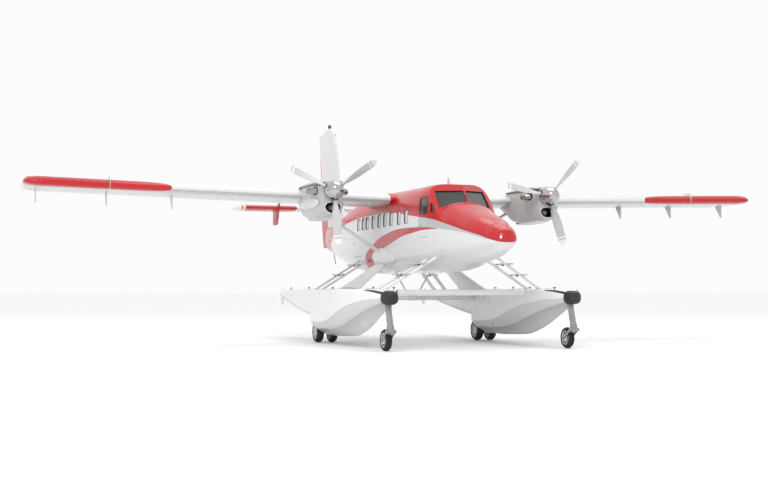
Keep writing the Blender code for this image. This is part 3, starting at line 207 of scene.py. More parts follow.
PANE_OUTLINE = [(0.036, 0.02), (0.69, 0.06), (0.66, 0.61), (0.036, 0.38)]
CABIN_WINDOWS = [-1.10, -0.56, 0.04, 0.54, 1.02, 1.52, 2.05, 2.40]
WINDOW_HALF = 0.13
WINDOW_LOW = 3.00
WINDOW_HIGH = 3.34
WINDOW_CORNER = 0.06
QUARTER_WINDOW = [(-2.56, 3.19), (-2.56, 3.42), (-2.67, 3.36), (-2.73, 3.19)]
# Doors: name, first station, last station, sill, head, window's same four
DOORS = [
    ("crew_door", -2.45, -1.90, 2.62, 3.61, (-2.40, -1.98, 3.17, 3.565)),
    ("cabin_door", 2.60, 3.34, 2.28, 3.46, (2.72, 2.96, 3.00, 3.32)),
]
DOOR_GAP = 0.007
RED = (0.50, 0.010, 0.014)
WHITE = (0.70, 0.705, 0.71)
BAND_GREY = (0.46, 0.49, 0.50)
# Paint lines as station and height: the roof red's lower edge, the grey band's lower edge,
# and the two edges of the low red sweep
ROOF_RED_EDGE = [
    (-5.36, 2.38), (-5.27, 2.39), (-5.15, 2.42), (-4.93, 2.48), (-4.66, 2.56), (-4.03, 2.71),
    (-3.30, 2.88), (-2.53, 3.04), (-1.53, 3.16), (-0.80, 3.25), (-0.15, 3.31), (0.53, 3.35),
    (1.94, 3.36), (3.28, 3.33), (4.49, 3.22), (5.91, 3.07), (6.68, 2.95), (7.00, 2.80),
    (7.30, 2.60), (7.60, 2.20)]
GREY_BAND_EDGE = [
    (-5.36, 2.45), (-5.15, 2.44), (-4.93, 2.46), (-4.66, 2.52), (-4.05, 2.65), (-3.56, 2.72),
    (-3.15, 2.77), (-2.83, 2.81), (-2.32, 2.85), (-1.94, 2.87)]
SWEEP_TOP = [
    (-2.93, 2.795), (-2.33, 2.85), (-1.43, 2.88), (-0.82, 2.89), (-0.19, 2.87), (0.47, 2.80),
    (0.95, 2.73), (1.37, 2.62), (1.88, 2.46), (2.19, 2.33), (2.31, 2.22), (2.36, 2.10), (2.38, 1.75)]
SWEEP_LOW = [
    (-2.93, 2.790), (-2.33, 2.79), (-1.43, 2.74), (-1.07, 2.72), (-0.51, 2.65), (0.14, 2.54),
    (0.61, 2.46), (0.98, 2.37), (1.25, 2.31), (1.39, 2.22), (1.56, 2.10), (1.62, 1.75)]
PIN_LINE = [(2.60, 2.80), (4.11, 2.82), (6.48, 2.89), (6.90, 2.90)]


def place(x, station, z):
    """Points from their distance off centre, station and height, as one array."""
    return np.stack(np.broadcast_arrays(x, np.asarray(station) + WING_LEAD_Y, z), axis=-1)


def glide(table, stations):
    """A table's columns at those stations: cubic curves through its rows, whose slope at each
    row is that of the parabola through the row and its two neighbours."""
    rows = np.array(table, float)
    known, values = rows[:, 0], rows[:, 1:]
    step = np.diff(known)[:, None]
    chord = np.diff(values, axis=0) / step
    inner = (chord[:-1] * step[1:] + chord[1:] * step[:-1]) / (step[1:] + step[:-1])
    slope = np.vstack([chord[:1], inner, chord[-1:]])
    stations = np.asarray(stations, float)
    i = np.clip(np.searchsorted(known, stations) - 1, 0, len(known) - 2)
    t = ((stations - known[i]) / step[i, 0])[..., None]
    return ((1 + 2 * t) * (1 - t) ** 2 * values[i] + t * (1 - t) ** 2 * step[i] * slope[i]
            + t ** 2 * (3 - 2 * t) * values[i + 1] - t ** 2 * (1 - t) * step[i] * slope[i + 1])


def oval_rings(columns, inset=0.0, count=96):
    """Rings of a rounded section: |cos| and |sin| of the angle to the power 2 / squareness,
    times the half width and the height over or under the waist."""
    angle = 2 * np.pi * (np.arange(count) + 0.5) / count
    c, s = np.cos(angle), np.sin(angle)
    low, waist, high, half, square_low, square_high = np.split(columns, 6, axis=1)
    power = np.where(s > 0, 2 / square_high, 2 / square_low)
    x = (half - inset) * np.sign(c) * np.abs(c) ** power
    reach = np.where(s > 0, high - inset - waist, waist - low - inset)
    return x, waist + reach * np.sign(s) * np.abs(s) ** power


def tube(grid, ring=False):
    """Points and faces of a skin over a (rows, columns, 3) grid that closes on itself across;
    its ends are capped, or joined to each other where ring is true."""
    rows, columns = grid.shape[:2]
    start = np.arange(rows if ring else rows - 1)[:, None] * columns
    after = (start + columns) % (rows * columns)
    here = np.arange(columns)[None, :]
    beside = (here + 1) % columns
    quads = np.stack([start + here, start + beside, after + beside, after + here], axis=-1)
    faces = quads.reshape(-1, 4).tolist()
    if not ring:
        faces.append(list(range(columns))[::-1])
        faces.append(list(range((rows - 1) * columns, rows * columns)))
    return grid.reshape(-1, 3), faces


def mesh_of(name, shells, tidy=True):
    """One mesh of several shells; doubles are merged and every shell's faces point out."""
    points, faces, told = [], [], 0
    for shell_points, shell_faces in shells:
        points.append(shell_points)
        faces.extend([[corner + told for corner in face] for face in shell_faces])
        told += len(shell_points)
    mesh = bpy.data.meshes.new(name)
    mesh.from_pydata(np.concatenate(points).tolist(), [], faces)
    if tidy:
        bm = bmesh.new()
        bm.from_mesh(mesh)
        bmesh.ops.remove_doubles(bm, verts=bm.verts, dist=0.00002)
        bmesh.ops.dissolve_degenerate(bm, edges=bm.edges, dist=0.00001)
        bmesh.ops.recalc_face_normals(bm, faces=bm.faces)
        bm.to_mesh(mesh)
        bm.free()
    return mesh


def smooth_shade(mesh, angle_deg=32.0):
    """Shades the mesh smoothly, with sharp edges kept above this angle."""
    mesh.shade_smooth()
    mesh.set_sharp_from_angle(angle=math.radians(angle_deg))


def thing(name, shells, finishes, sharp=32.0):
    """A new object in the scene from shells and its finishes."""
    made = bpy.data.objects.new(name, mesh_of(name, shells))
    for finish in finishes:
        made.data.materials.append(finish)
    smooth_shade(made.data, sharp)
    bpy.context.scene.collection.objects.link(made)
    return made


def fit(piece, body, slot, *nodes):
    """The piece rides on a body and stands for those CAD nodes; the slot is not used."""
    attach(piece, body)
    if nodes:
        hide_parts(*nodes)
    return piece


def carve(made, other, operation):
    """Applies one exact Boolean and takes the other solid away."""
    modifier = made.modifiers.new("carve", "BOOLEAN")
    modifier.operation = operation
    modifier.object = other
    modifier.solver = "EXACT"
    graph = bpy.context.evaluated_depsgraph_get()
    made.data = bpy.data.meshes.new_from_object(made.evaluated_get(graph))
    made.modifiers.clear()
    bpy.data.objects.remove(other, do_unlink=True)


def fin_rear(z):
    """Station of the fin's rear edge at a height, on its straight lean."""
    return FIN_FOOT_STATION + (z - FIN_FOOT_Z) * FIN_LEAN


def body_shell(table, first, last, rows, inset=0.0, count=96, leaning=False):
    """The hull between two stations; its rear end leans with the fin where that is asked."""
    stations = np.linspace(first, last, rows)
    x, z = oval_rings(glide(table, stations), inset, count)
    reach = np.broadcast_to(stations[:, None], z.shape)
    if leaning:
        share = np.clip((reach - 8.0) / (last - 8.0), 0.0, 1.0) ** 2
        reach = reach + share * (fin_rear(z) - last)
    return tube(place(x, reach, z))


NOSE_DOME = 0.004


def nose_shell(inset=0.0, rows=90, count=96):
    """The nose, with its stations closest together at the tip, closed by a shallow dome."""
    first, last = NOSE_TABLE[0][0] + NOSE_DOME, NOSE_TABLE[-1][0]
    stations = first + (last - first) * np.linspace(0.0, 1.0, rows) ** 2
    x, z = oval_rings(glide(NOSE_TABLE, stations), inset, count)
    grid = place(x, stations[:, None], z)
    middle = grid[0].mean(axis=0)
    share = np.array([0.0, 0.4, 0.75])[:, None, None]
    dome = middle + (grid[0] - middle) * share
    dome[..., 1] -= NOSE_DOME * (1 - share[..., 0] ** 2)
    return tube(np.concatenate([dome, grid]))


def slope_block(side, offset=0.0):
    """A big block ahead of one windscreen slope, moved off it by offset along its normal."""
    foot, head, corner = (np.array(place(*spot)) for spot in (POST_FOOT, POST_HEAD, SIDE_FOOT))
    up = (head - foot) / np.linalg.norm(head - foot)
    normal = np.cross(corner - foot, head - foot)
    normal = normal / np.linalg.norm(normal) * np.sign(normal[2])
    flip = np.array([side, 1.0, 1.0])
    across = np.cross(up, normal)
    square = np.array([(-3, -3), (3, -3), (3, 3), (-3, 3)], float)
    face = foot + square[:, :1] * across + square[:, 1:] * up
    grid = np.stack([face + normal * offset, face + normal * (offset + 6.0)])
    return tube(grid * flip)


def pane_prism(side, inner, outer):
    """A prism over a windscreen opening, between two distances off its slope."""
    foot, head, corner = (np.array(place(*spot)) for spot in (POST_FOOT, POST_HEAD, SIDE_FOOT))
    up = (head - foot) / np.linalg.norm(head - foot)
    normal = np.cross(corner - foot, head - foot)
    normal = normal / np.linalg.norm(normal) * np.sign(normal[2])
    across = np.cross(up, normal)
    across = across * np.sign(across[0])
    outline = np.array(PANE_OUTLINE)
    face = foot + outline[:, :1] * across + outline[:, 1:] * up
    grid = np.stack([face + normal * inner, face + normal * outer])
    return tube(grid * np.array([side, 1.0, 1.0]))


def round_box(first, last, low, high, corner, arc=7, side=10):
    """Station and height round a box: quarter circles joined by evenly spaced straight sides."""
    turn = np.linspace(0.0, np.pi / 2, arc)
    centres = [(last - corner, high - corner), (first + corner, high - corner),
               (first + corner, low + corner), (last - corner, low + corner)]
    arcs = [np.stack([y + corner * np.cos(turn + k * np.pi / 2),
                      z + corner * np.sin(turn + k * np.pi / 2)], axis=-1)
            for k, (y, z) in enumerate(centres)]
    parts = []
    for here, following in zip(arcs, arcs[1:] + arcs[:1]):
        share = np.linspace(0.0, 1.0, side + 2)[1:-1, None]
        parts += [here, here[-1] + (following[0] - here[-1]) * share]
    return np.concatenate(parts)


def side_prism(outline, side, near=0.45, far=1.2):
    """A prism through one side wall over an outline of stations and heights."""
    return tube(np.stack([place(side * x, outline[:, 0], outline[:, 1]) for x in (near, far)]))


def edge_curve(tree, line, station):
    """Height of a paint line at a station, from a curve through the line's points."""
    points = np.array(line)
    first, last = points[0, 0], points[-1, 0]
    low, high = points[:, 1].min(), points[:, 1].max()
    share = ramp(tree, station, first, last)
    curve = wire(tree, "ShaderNodeFloatCurve", 1.0, share)
    track = curve.node.mapping.curves[0]
    spots = [((y - first) / (last - first), (z - low) / (high - low)) for y, z in line]
    track.points[0].location = spots[0]
    track.points[1].location = spots[-1]
    for spot in spots[1:-1]:
        track.points.new(*spot)
    for point in track.points:
        point.handle_type = "AUTO_CLAMPED"
    curve.node.mapping.update()
    return ramp(tree, curve, 0.0, 1.0, low, high)


def above(tree, height, line, soft=0.003):
    """1 over a line and 0 under it, with an edge a few millimetres soft."""
    rise = maths(tree, "SUBTRACT", height, line)
    return ramp(tree, rise, -soft, soft)


def both(tree, *shares):
    """The product of several shares."""
    result = shares[0]
    for share in shares[1:]:
        result = maths(tree, "MULTIPLY", result, share)
    return result


def panel_relief(tree, shader, spot, joints, rough=0.22, ribs=()):
    """Fine grooves at those stations and at those distances out, and a faint orange peel."""
    axes = wire(tree, "ShaderNodeSeparateXYZ", spot).node.outputs
    out = maths(tree, "ABSOLUTE", axes[0])
    lines = [(axes[1], joint + WING_LEAD_Y) for joint in joints] + [(out, rib) for rib in ribs]
    dips = []
    for reach, line in lines:
        gap = maths(tree, "SUBTRACT", reach, line)
        gap = maths(tree, "ABSOLUTE", gap)
        dips.append(ramp(tree, gap, 0.0015, 0.004))
    groove = both(tree, *dips)
    peel = wire(tree, "ShaderNodeTexNoise", spot, None, 40.0, 2.0)
    height = maths(tree, "MULTIPLY_ADD", peel, 0.10, groove)
    relief = wire(tree, "ShaderNodeBump", 0.5, 0.0012)
    tree.links.new(height, relief.node.inputs["Height"])
    tree.links.new(relief, shader.inputs["Normal"])
    gloss = cloud(tree, spot, 1.5, 4.0, rough - 0.05, rough + 0.06)
    tree.links.new(gloss, shader.inputs["Roughness"])


def hull_paint():
    """White skin; red over the roof line, a grey band under it on the nose, a low red sweep."""
    made, tree, shader, spot = new_finish("hull_paint", coat=0.25, specular=0.35)
    axes = wire(tree, "ShaderNodeSeparateXYZ", spot).node.outputs
    height = axes[2]
    station = maths(tree, "SUBTRACT", axes[1], WING_LEAD_Y)
    ahead = ramp(tree, station, -1.935, -1.93, 1.0, 0.0)
    behind_nose = ramp(tree, station, -5.00, -4.85)
    grey = both(tree, above(tree, height, edge_curve(tree, GREY_BAND_EDGE, station)), ahead,
                behind_nose)
    sweep_edge = above(tree, height, edge_curve(tree, SWEEP_LOW, station))
    sweep_top = above(tree, height, edge_curve(tree, SWEEP_TOP, station))
    under_top = maths(tree, "SUBTRACT", 1.0, sweep_top)
    within = both(tree, ramp(tree, station, -2.93, -2.92),
                  ramp(tree, station, 2.375, 2.38, 1.0, 0.0))
    ahead_of_end = ramp(tree, station, 1.61, 1.62)
    past_edge = maths(tree, "MAXIMUM", sweep_edge, ahead_of_end)
    sweep = both(tree, past_edge, under_top, within)
    roof = above(tree, height, edge_curve(tree, ROOF_RED_EDGE, station))
    pin_gap = maths(tree, "SUBTRACT", height, edge_curve(tree, PIN_LINE, station))
    pin_gap = maths(tree, "ABSOLUTE", pin_gap)
    pin = both(tree, ramp(tree, pin_gap, 0.012, 0.016, 1.0, 0.0),
               ramp(tree, station, 2.60, 2.62))
    wash = cloud(tree, spot, 0.9, 4.0, 0.0, 0.5)
    white = blended(tree, wash, WHITE, (0.65, 0.65, 0.645))
    red = blended(tree, wash, RED, (0.42, 0.010, 0.013))
    colour = blended(tree, grey, white, BAND_GREY)
    colour = blended(tree, pin, colour, (0.56, 0.57, 0.57))
    red_share = maths(tree, "MAXIMUM", sweep, roof)
    colour = blended(tree, red_share, colour, red)
    tree.links.new(colour, shader.inputs["Base Color"])
    panel_relief(tree, shader, spot, (-4.80, -4.05, -3.10, -1.45, 0.78, 2.28, 4.42, 5.60, 7.02))
    return made


hull_finish = hull_paint()
lining_finish = plain_finish("cabin_lining", (0.62, 0.62, 0.60), rough=0.7, grain=200.0,
                             depth=0.0006, shift=0.06)
seal_finish = plain_finish("window_seal", (0.018, 0.018, 0.019), rough=0.6, grain=300.0,
                           depth=0.0003, shift=0.3)

hull = thing("fuselage_skin", [body_shell(BODY_TABLE, -3.30, 8.80, 205, leaning=True)],
             (hull_finish, lining_finish, seal_finish))
nose = thing("nose_form", [nose_shell()], (hull_finish, lining_finish, seal_finish))
room = thing("room_form", [body_shell(BODY_TABLE, CABIN_FRONT, CABIN_BACK, 60, HULL_WALL, 64)],
             (hull_finish, lining_finish, seal_finish))
for block_side in (1.0, -1.0):
    carve(hull, thing("slope", [slope_block(block_side)], (hull_finish,)), "DIFFERENCE")
    carve(room, thing("slope", [slope_block(block_side, -HULL_WALL)], (hull_finish,)), "DIFFERENCE")
carve(hull, nose, "UNION")
inner_nose = thing("inner_nose", [body_shell(NOSE_TABLE, CABIN_FRONT, -2.40, 12, HULL_WALL, 64)],
                   (hull_finish,))
carve(room, inner_nose, "UNION")
room.data.polygons.foreach_set("material_index", np.full(len(room.data.polygons), 1, np.int32))
carve(hull, room, "DIFFERENCE")

opening_shells = []
for opening_side in (1.0, -1.0):
    opening_shells.append(pane_prism(opening_side, -0.30, 0.10))
    opening_shells.append(side_prism(np.array(QUARTER_WINDOW), opening_side, 0.60))
    for window_station in CABIN_WINDOWS:
        window_outline = round_box(window_station - WINDOW_HALF, window_station + WINDOW_HALF,
                                   WINDOW_LOW, WINDOW_HIGH, WINDOW_CORNER, side=2)
        opening_shells.append(side_prism(window_outline, opening_side))
    for _, door_first, door_last, door_sill, door_head, _ in DOORS:
        door_outline = round_box(door_first, door_last, door_sill, door_head, 0.05, side=2)
        opening_shells.append(side_prism(door_outline, opening_side))
openings = thing("opening_forms", opening_shells, (hull_finish, lining_finish, seal_finish))
openings.data.polygons.foreach_set("material_index",
                                   np.full(len(openings.data.polygons), 2, np.int32))
carve(hull, openings, "DIFFERENCE")
smooth_shade(hull.data, 30.0)
fit(hull, "airframe", "airframe_white", "nose_section", "cockpit_shell", "cabin_shell",
    "tail_cone")

# Doors: light-alloy leaves that follow the skin, each with a rounded window and a flush
# handle. The crew doors are red with the roof; the cabin doors carry on the white side.
DOOR_THICK = 0.035
HANDLE_HALF = (0.055, 0.012)


def hull_side(station, z):
    """Distance off centre of the hull's skin: half width times (1 - |t|^n)^(1/n), t being the
    share of the way from the waist to the roof or belly, no further out than the slope."""
    flat = np.ravel(station)
    low, waist, high, half, square_low, square_high = np.moveaxis(
        glide(BODY_TABLE, flat).reshape(*np.shape(station), 6), -1, 0)
    upper = z > waist
    t = np.clip(np.where(upper, (z - waist) / (high - waist), (waist - z) / (waist - low)), 0, 1)
    n = np.where(upper, square_high, square_low)
    slope = (station - POST_FOOT[1] - SLOPE_PER_RISE * (z - POST_FOOT[2])) / SLOPE_PER_OUT
    return np.minimum(half * (1 - t ** n) ** (1 / n), slope)


def skin_loop(outline, side, inset):
    """A loop on the hull's side skin, or under it by inset."""
    return place(side * (hull_side(outline[:, 0], outline[:, 1]) - inset),
                 outline[:, 0], outline[:, 1])


def frame_leaf(outer, inner, side, thick, bands=8):
    """A leaf with a hole: loops from its edge in to the hole on the skin, and back under it."""
    shares = np.linspace(0.0, 1.0, bands)
    face = [skin_loop(outer + (inner - outer) * share, side, 0.0) for share in shares]
    back = [skin_loop(outer + (inner - outer) * share, side, thick) for share in shares[::-1]]
    return tube(np.stack(face + back), ring=True)


def pane_leaf(outline, side, inset, thick, bands=6):
    """A filled leaf inside an outline: loops drawn in to its middle, over and under."""
    middle = outline.mean(axis=0)
    shares = np.linspace(1.0, 0.0, bands)
    face = [skin_loop(middle + (outline - middle) * share, side, inset) for share in shares]
    back = [skin_loop(middle + (outline - middle) * share, side, inset + thick)
            for share in shares[::-1]]
    return tube(np.stack(face + back), ring=True)


def bead(outline, side, radius, inset=0.0, sides=6):
    """A thin round bead along an outline on the skin: a circle in the plane of the outline's
    outward direction and the direction off the centre line."""
    middle = outline.mean(axis=0)
    out = outline - middle
    out = out / np.linalg.norm(out, axis=1, keepdims=True)
    turn = 2 * np.pi * np.arange(sides) / sides
    x = hull_side(outline[:, 0], outline[:, 1]) - inset
    loops = [place(side * (x + radius * np.sin(a)), outline[:, 0] + out[:, 0] * radius * np.cos(a),
                   outline[:, 1] + out[:, 1] * radius * np.cos(a)) for a in turn]
    return tube(np.stack(loops), ring=True)


glass_finish, glass_tree, glass_shader, glass_spot = new_finish("cockpit_glass", coat=1.0)
glass_tree.links.new(blended(glass_tree, cloud(glass_tree, glass_spot, 1.2), (0.030, 0.036, 0.036),
                             (0.055, 0.064, 0.062)), glass_shader.inputs["Base Color"])
surface_feel(glass_tree, glass_shader, glass_spot, 0.06, 0.02, 8.0, 0.0005)
glass_shader.inputs["Alpha"].default_value = 0.62
# Cabin window panes: a pale, nearly opaque grey, a painted reflection.
window_reflection_finish, window_tree, window_shader, window_spot = new_finish("cabin_window_painted_reflection", coat=1.0)
window_tree.links.new(blended(window_tree, cloud(window_tree, window_spot, 2.0),
                              (0.56, 0.58, 0.58), (0.66, 0.68, 0.68)),
                      window_shader.inputs["Base Color"])
surface_feel(window_tree, window_shader, window_spot, 0.10, 0.03, 8.0, 0.0005)
window_shader.inputs["Alpha"].default_value = 0.86
handle_finish = plain_finish("handle_metal", (0.30, 0.30, 0.31), rough=0.35, metallic=1.0,
                             grain=400.0, depth=0.0002)

for door_name, door_first, door_last, door_sill, door_head, door_window in DOORS:
    for suffix, door_side in (("left", 1.0), ("right", -1.0)):
        body = door_name + "_" + suffix
        edge = round_box(door_first + DOOR_GAP, door_last - DOOR_GAP, door_sill + DOOR_GAP,
                         door_head - DOOR_GAP, 0.045)
        rim = round_box(*door_window, 0.05)
        leaf = thing(body + "_leaf", [frame_leaf(edge, rim, door_side, DOOR_THICK)],
                     (hull_finish,))
        fit(leaf, body, "airframe_red" if door_name == "crew_door" else "airframe_white", body)
        pane = thing(body + "_pane", [pane_leaf(rim, door_side, 0.012, 0.008)],
                     (glass_finish if door_name == "crew_door" else window_reflection_finish,))
        fit(pane, body, "windscreen_glass")
        grip = np.array([door_last - 0.10, (door_sill + door_window[2]) / 2])
        grip_outline = round_box(grip[0] - HANDLE_HALF[0], grip[0] + HANDLE_HALF[0],
                                 grip[1] - HANDLE_HALF[1], grip[1] + HANDLE_HALF[1], 0.011, side=1)
        trim = thing(body + "_seal", [bead(rim, door_side, 0.007, 0.002)], (seal_finish,))
        fit(trim, body, "interior_dark")
        handle = thing(body + "_handle", [pane_leaf(grip_outline, door_side, -0.005, 0.012, 3)],
                       (handle_finish,))
        fit(handle, body, "engine_metal")

# Cabin windows: acrylic panes set a little under the skin in dark rubber seals, with a small quarter light
# ahead of each crew door, and flat laminated windscreen panes. The cabin panes' pale grey is a painted
# reflection.
window_shells, quarter_shells, seal_shells = [], [], []
for side in (1.0, -1.0):
    for window_station in CABIN_WINDOWS:
        rim = round_box(window_station - WINDOW_HALF, window_station + WINDOW_HALF,
                        WINDOW_LOW, WINDOW_HIGH, WINDOW_CORNER)
        window_shells.append(pane_leaf(rim, side, 0.015, 0.008))
        seal_shells.append(bead(rim, side, 0.006, 0.001))
    quarter = np.array(QUARTER_WINDOW)
    share = np.linspace(0.0, 1.0, 6)[:-1, None]
    quarter = np.concatenate([a + (b - a) * share
                              for a, b in zip(quarter, np.roll(quarter, -1, axis=0))])
    quarter_shells.append(pane_leaf(quarter, side, 0.015, 0.008))
    seal_shells.append(bead(quarter, side, 0.007, 0.002))
fit(thing("cabin_window_panes", window_shells, (window_reflection_finish,)), "airframe", "windscreen_glass")
fit(thing("quarter_panes", quarter_shells, (glass_finish,)), "airframe", "windscreen_glass")
fit(thing("window_seals", seal_shells, (seal_finish,)), "airframe", "interior_dark")
for suffix in ("left", "right"):
    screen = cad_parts["windscreen_" + suffix]
    screen.data.materials.clear()
    screen.data.materials.append(glass_finish)
screen_seals = []
for side in (1.0, -1.0):
    ring = pane_prism(side, -0.004, 0.002)[0].reshape(2, len(PANE_OUTLINE), 3)
    middle = ring.mean(axis=(0, 1))
    wide = middle + (ring - middle) * 1.035
    screen_seals.append(tube(np.stack([ring[0], ring[1], wide[1], wide[0]]), ring=True))
fit(thing("windscreen_seals", screen_seals, (seal_finish,)), "airframe", "interior_dark")

# Cabin: a ribbed floor on the keel, twelve seats on steel legs with stitched cushions, and the instrument
# panel with its dials, glare shield and pedestal.
FLOOR_TOP = 2.24
SEAT_PITCH = 0.76
ROW_SEATS = [(x * 1.3, -0.75 + row * SEAT_PITCH, 0.19) for x in (-0.38, 0.38) for row in range(5)]
CREW_SEATS = [(x, -1.98, 0.21) for x in (-0.38, 0.38)]
cloth_finish = plain_finish("seat_cloth", (0.060, 0.064, 0.075), rough=0.85, grain=900.0,
                            depth=0.0012, shift=0.25, mottle=9.0, specular=0.2)
floor_cover_finish = plain_finish("cabin_floor_cover", (0.11, 0.11, 0.115), rough=0.8,
                                  grain=500.0, depth=0.001, shift=0.2)
panel_finish = plain_finish("panel_black", (0.022, 0.022, 0.024), rough=0.6, grain=300.0,
                            depth=0.0005, shift=0.2)
leg_finish = plain_finish("seat_frame", (0.34, 0.34, 0.35), rough=0.4, metallic=1.0, grain=300.0)


def block(low, high):
    """A box between two corners, as a shell of its own."""
    low, high = np.array(low, float), np.array(high, float)
    square = np.array([(0, 0), (1, 0), (1, 1), (0, 1)])
    ends = [np.stack([low[0] + square[:, 0] * (high - low)[0], low[1] + square[:, 1] * (high - low)[1],
                      np.full(4, z)], axis=-1) for z in (low[2], high[2])]
    return tube(np.stack(ends))


def cushion(centre, half, square=3.2, crown=1.7, lean=0.0, rows=24, count=32):
    """A crowned pad: a superellipse across, whose thickness falls off towards its edge as
    (1 - r^square)^(1/crown), with a shallow sewn channel round it; it may lean back."""
    a = 2 * np.pi * np.arange(count) / count
    edge = np.stack([np.sign(np.cos(a)) * np.abs(np.cos(a)) ** (2 / square),
                     np.sign(np.sin(a)) * np.abs(np.sin(a)) ** (2 / square)])
    v = np.linspace(-np.pi / 2, np.pi / 2, rows)[:, None]
    r = np.cos(v) ** 0.45
    channel = 1 - 0.10 * np.exp(-((r - 0.72) / 0.06) ** 2)
    x = half[0] * r * edge[0]
    y = half[1] * r * edge[1]
    z = half[2] * np.sign(v) * (1 - np.clip(r, 0, 1) ** square) ** (1 / crown) * channel
    z = np.broadcast_to(z, x.shape)
    y, z = y * math.cos(lean) - z * math.sin(lean), y * math.sin(lean) + z * math.cos(lean)
    return tube(np.stack([x, y, z], axis=-1) + np.array(centre))


cover = block(place(-0.70, -2.78, FLOOR_TOP - 0.03), place(0.70, 4.30, FLOOR_TOP))
keels = [block(place(x - 0.03, -1.70, 1.93), place(x + 0.03, 3.30, FLOOR_TOP - 0.02))
         for x in (-0.494, 0.494)]
ribs = [block(place(-0.19, station, FLOOR_TOP - 0.001), place(0.19, station + 0.012, FLOOR_TOP + 0.003))
        for station in np.arange(-1.3, 4.2, 0.12)]
fit(thing("cabin_floor_cover", [cover, *keels, *ribs], (floor_cover_finish,)), "airframe",
    "interior_dark", "cabin_floor")
leg_shells = []
for seat, (x, station, half) in enumerate(ROW_SEATS + CREW_SEATS):
    for foot_x in (x - half * 0.7, x + half * 0.7):
        for foot_station in (station - 0.15, station + 0.15):
            leg_shells.append(block(place(foot_x - 0.012, foot_station - 0.012, FLOOR_TOP - 0.002),
                                    place(foot_x + 0.012, foot_station + 0.012, 2.53)))
    leg_shells.append(block(place(x - half, station - 0.2, 2.50), place(x + half, station + 0.2, 2.53)))
    base = thing("seat_cushion_%d" % seat, [cushion(place(x, station, 2.575), (half, 0.235, 0.055))],
                 (cloth_finish,), 60.0)
    rest = thing("seat_back_%d" % seat,
                 [cushion(place(x, station + 0.20, 2.90), (half * 0.95, 0.28, 0.048), lean=math.radians(84))],
                 (cloth_finish,), 60.0)
    for pad in (base, rest):
        fit(pad, "airframe", "interior_dark")
    if seat >= len(ROW_SEATS):
        head = thing("head_rest_%d" % seat,
                     [cushion(place(x, station + 0.19, 3.27), (0.12, 0.09, 0.035), lean=math.radians(88))],
                     (cloth_finish,), 60.0)
        fit(head, "airframe", "interior_dark")
        leg_shells.append(block(place(x - 0.02, station + 0.18, 3.10), place(x + 0.02, station + 0.20, 3.24)))
fit(thing("seat_frames", leg_shells, (leg_finish,)), "airframe", "engine_metal")
panel_shells = [block(place(-0.56, -2.79, 2.30), place(0.56, -2.62, 2.98)),
                block(place(-0.15, -2.70, FLOOR_TOP), place(0.15, -2.26, 2.62)),
                block(place(-0.58, -2.82, 2.98), place(0.58, -2.56, 3.02))]
dial_shells = []
a = 2 * np.pi * np.arange(20) / 20
for row in range(3):
    for column in range(-5, 6):
        if column == 0:
            continue
        dial_x, dial_z = column * 0.098, 2.50 + row * 0.15
        dial_shells.append(tube(np.stack([place(dial_x + r * np.cos(a), station, dial_z + r * np.sin(a))
                                          for r, station in ((0.036, -2.622), (0.042, -2.612),
                                                             (0.036, -2.610), (0.033, -2.615))])))
fit(thing("instrument_panel_body", panel_shells, (panel_finish,)), "airframe", "interior_dark",
    "instrument_panel")
fit(thing("panel_dials", dial_shells, (handle_finish,)), "airframe", "engine_metal")

# Wings: one straight, constant-chord panel a side, riveted aluminium over two spars, bolted
# to the roof. The outer leading edge carries a red boot with a stall fence on it; thin
# plates under the rear spar hold the hinges of the flap and the aileron.
CHORD = 1.98
WING_ROOT = 0.60
WING_LEAD_Z = 3.68
WING_RISE = 0.0254
WING_INCIDENCE = math.radians(2.5)
WING_THICK = 0.16
WING_CAMBER = 0.03
CAMBER_PEAK = 0.4
REAR_FACE = 1.40
REAR_CUT_OUT = 9.45
FLAP_INNER = 0.93
# Rounded tip: distance out, leading edge set back, trailing edge set in, thickness share
TIP_TABLE = [(9.4505, 0.00, 0.00, 1.00), (9.68, 0.02, 0.03, 0.90), (9.84, 0.08, 0.12, 0.66),
             (9.89, 0.17, 0.30, 0.40), (9.905, 0.24, 0.45, 0.16)]
BRACKET_OUTS = (6.30, 7.90, 9.58)
FENCE_OUT = 7.92
# Light grey for under the wing's chord line: painted shade.
UNDER_SHADE_GREY = (0.47, 0.475, 0.48)
# Rear edge of the boot: distance out and depth behind the leading edge
BOOT_EDGE = [(6.45, -0.05), (6.47, 0.02), (6.55, 0.06), (6.80, 0.115), (7.20, 0.15), (7.90, 0.165),
             (9.30, 0.17), (9.60, 0.20), (9.80, 0.30), (9.905, 0.46)]


def aerofoil(share):
    """Middle line and half thickness over the chord: two parabolas that meet at the camber's
    peak, and a nose that goes as the square root of the share with a tail of the fourth degree."""
    p = CAMBER_PEAK
    middle = np.where(share < p, WING_CAMBER / p ** 2 * (2 * p * share - share ** 2),
                      WING_CAMBER / (1 - p) ** 2 * ((1 - 2 * p) + 2 * p * share - share ** 2))
    half = 5 * WING_THICK * (0.2969 * np.sqrt(share) - 0.1260 * share - 0.3516 * share ** 2
                             + 0.2843 * share ** 3 - 0.1015 * share ** 4)
    return middle, half


def wing_place(x, depth, height):
    """Wing points: depth behind the leading edge and height off the chord line, turned up by
    the incidence and raised with the distance out."""
    c, s = math.cos(WING_INCIDENCE), math.sin(WING_INCIDENCE)
    z0 = WING_LEAD_Z + WING_RISE * (np.abs(x) - 0.86)
    return place(x, depth * c + height * s, z0 - depth * s + height * c)


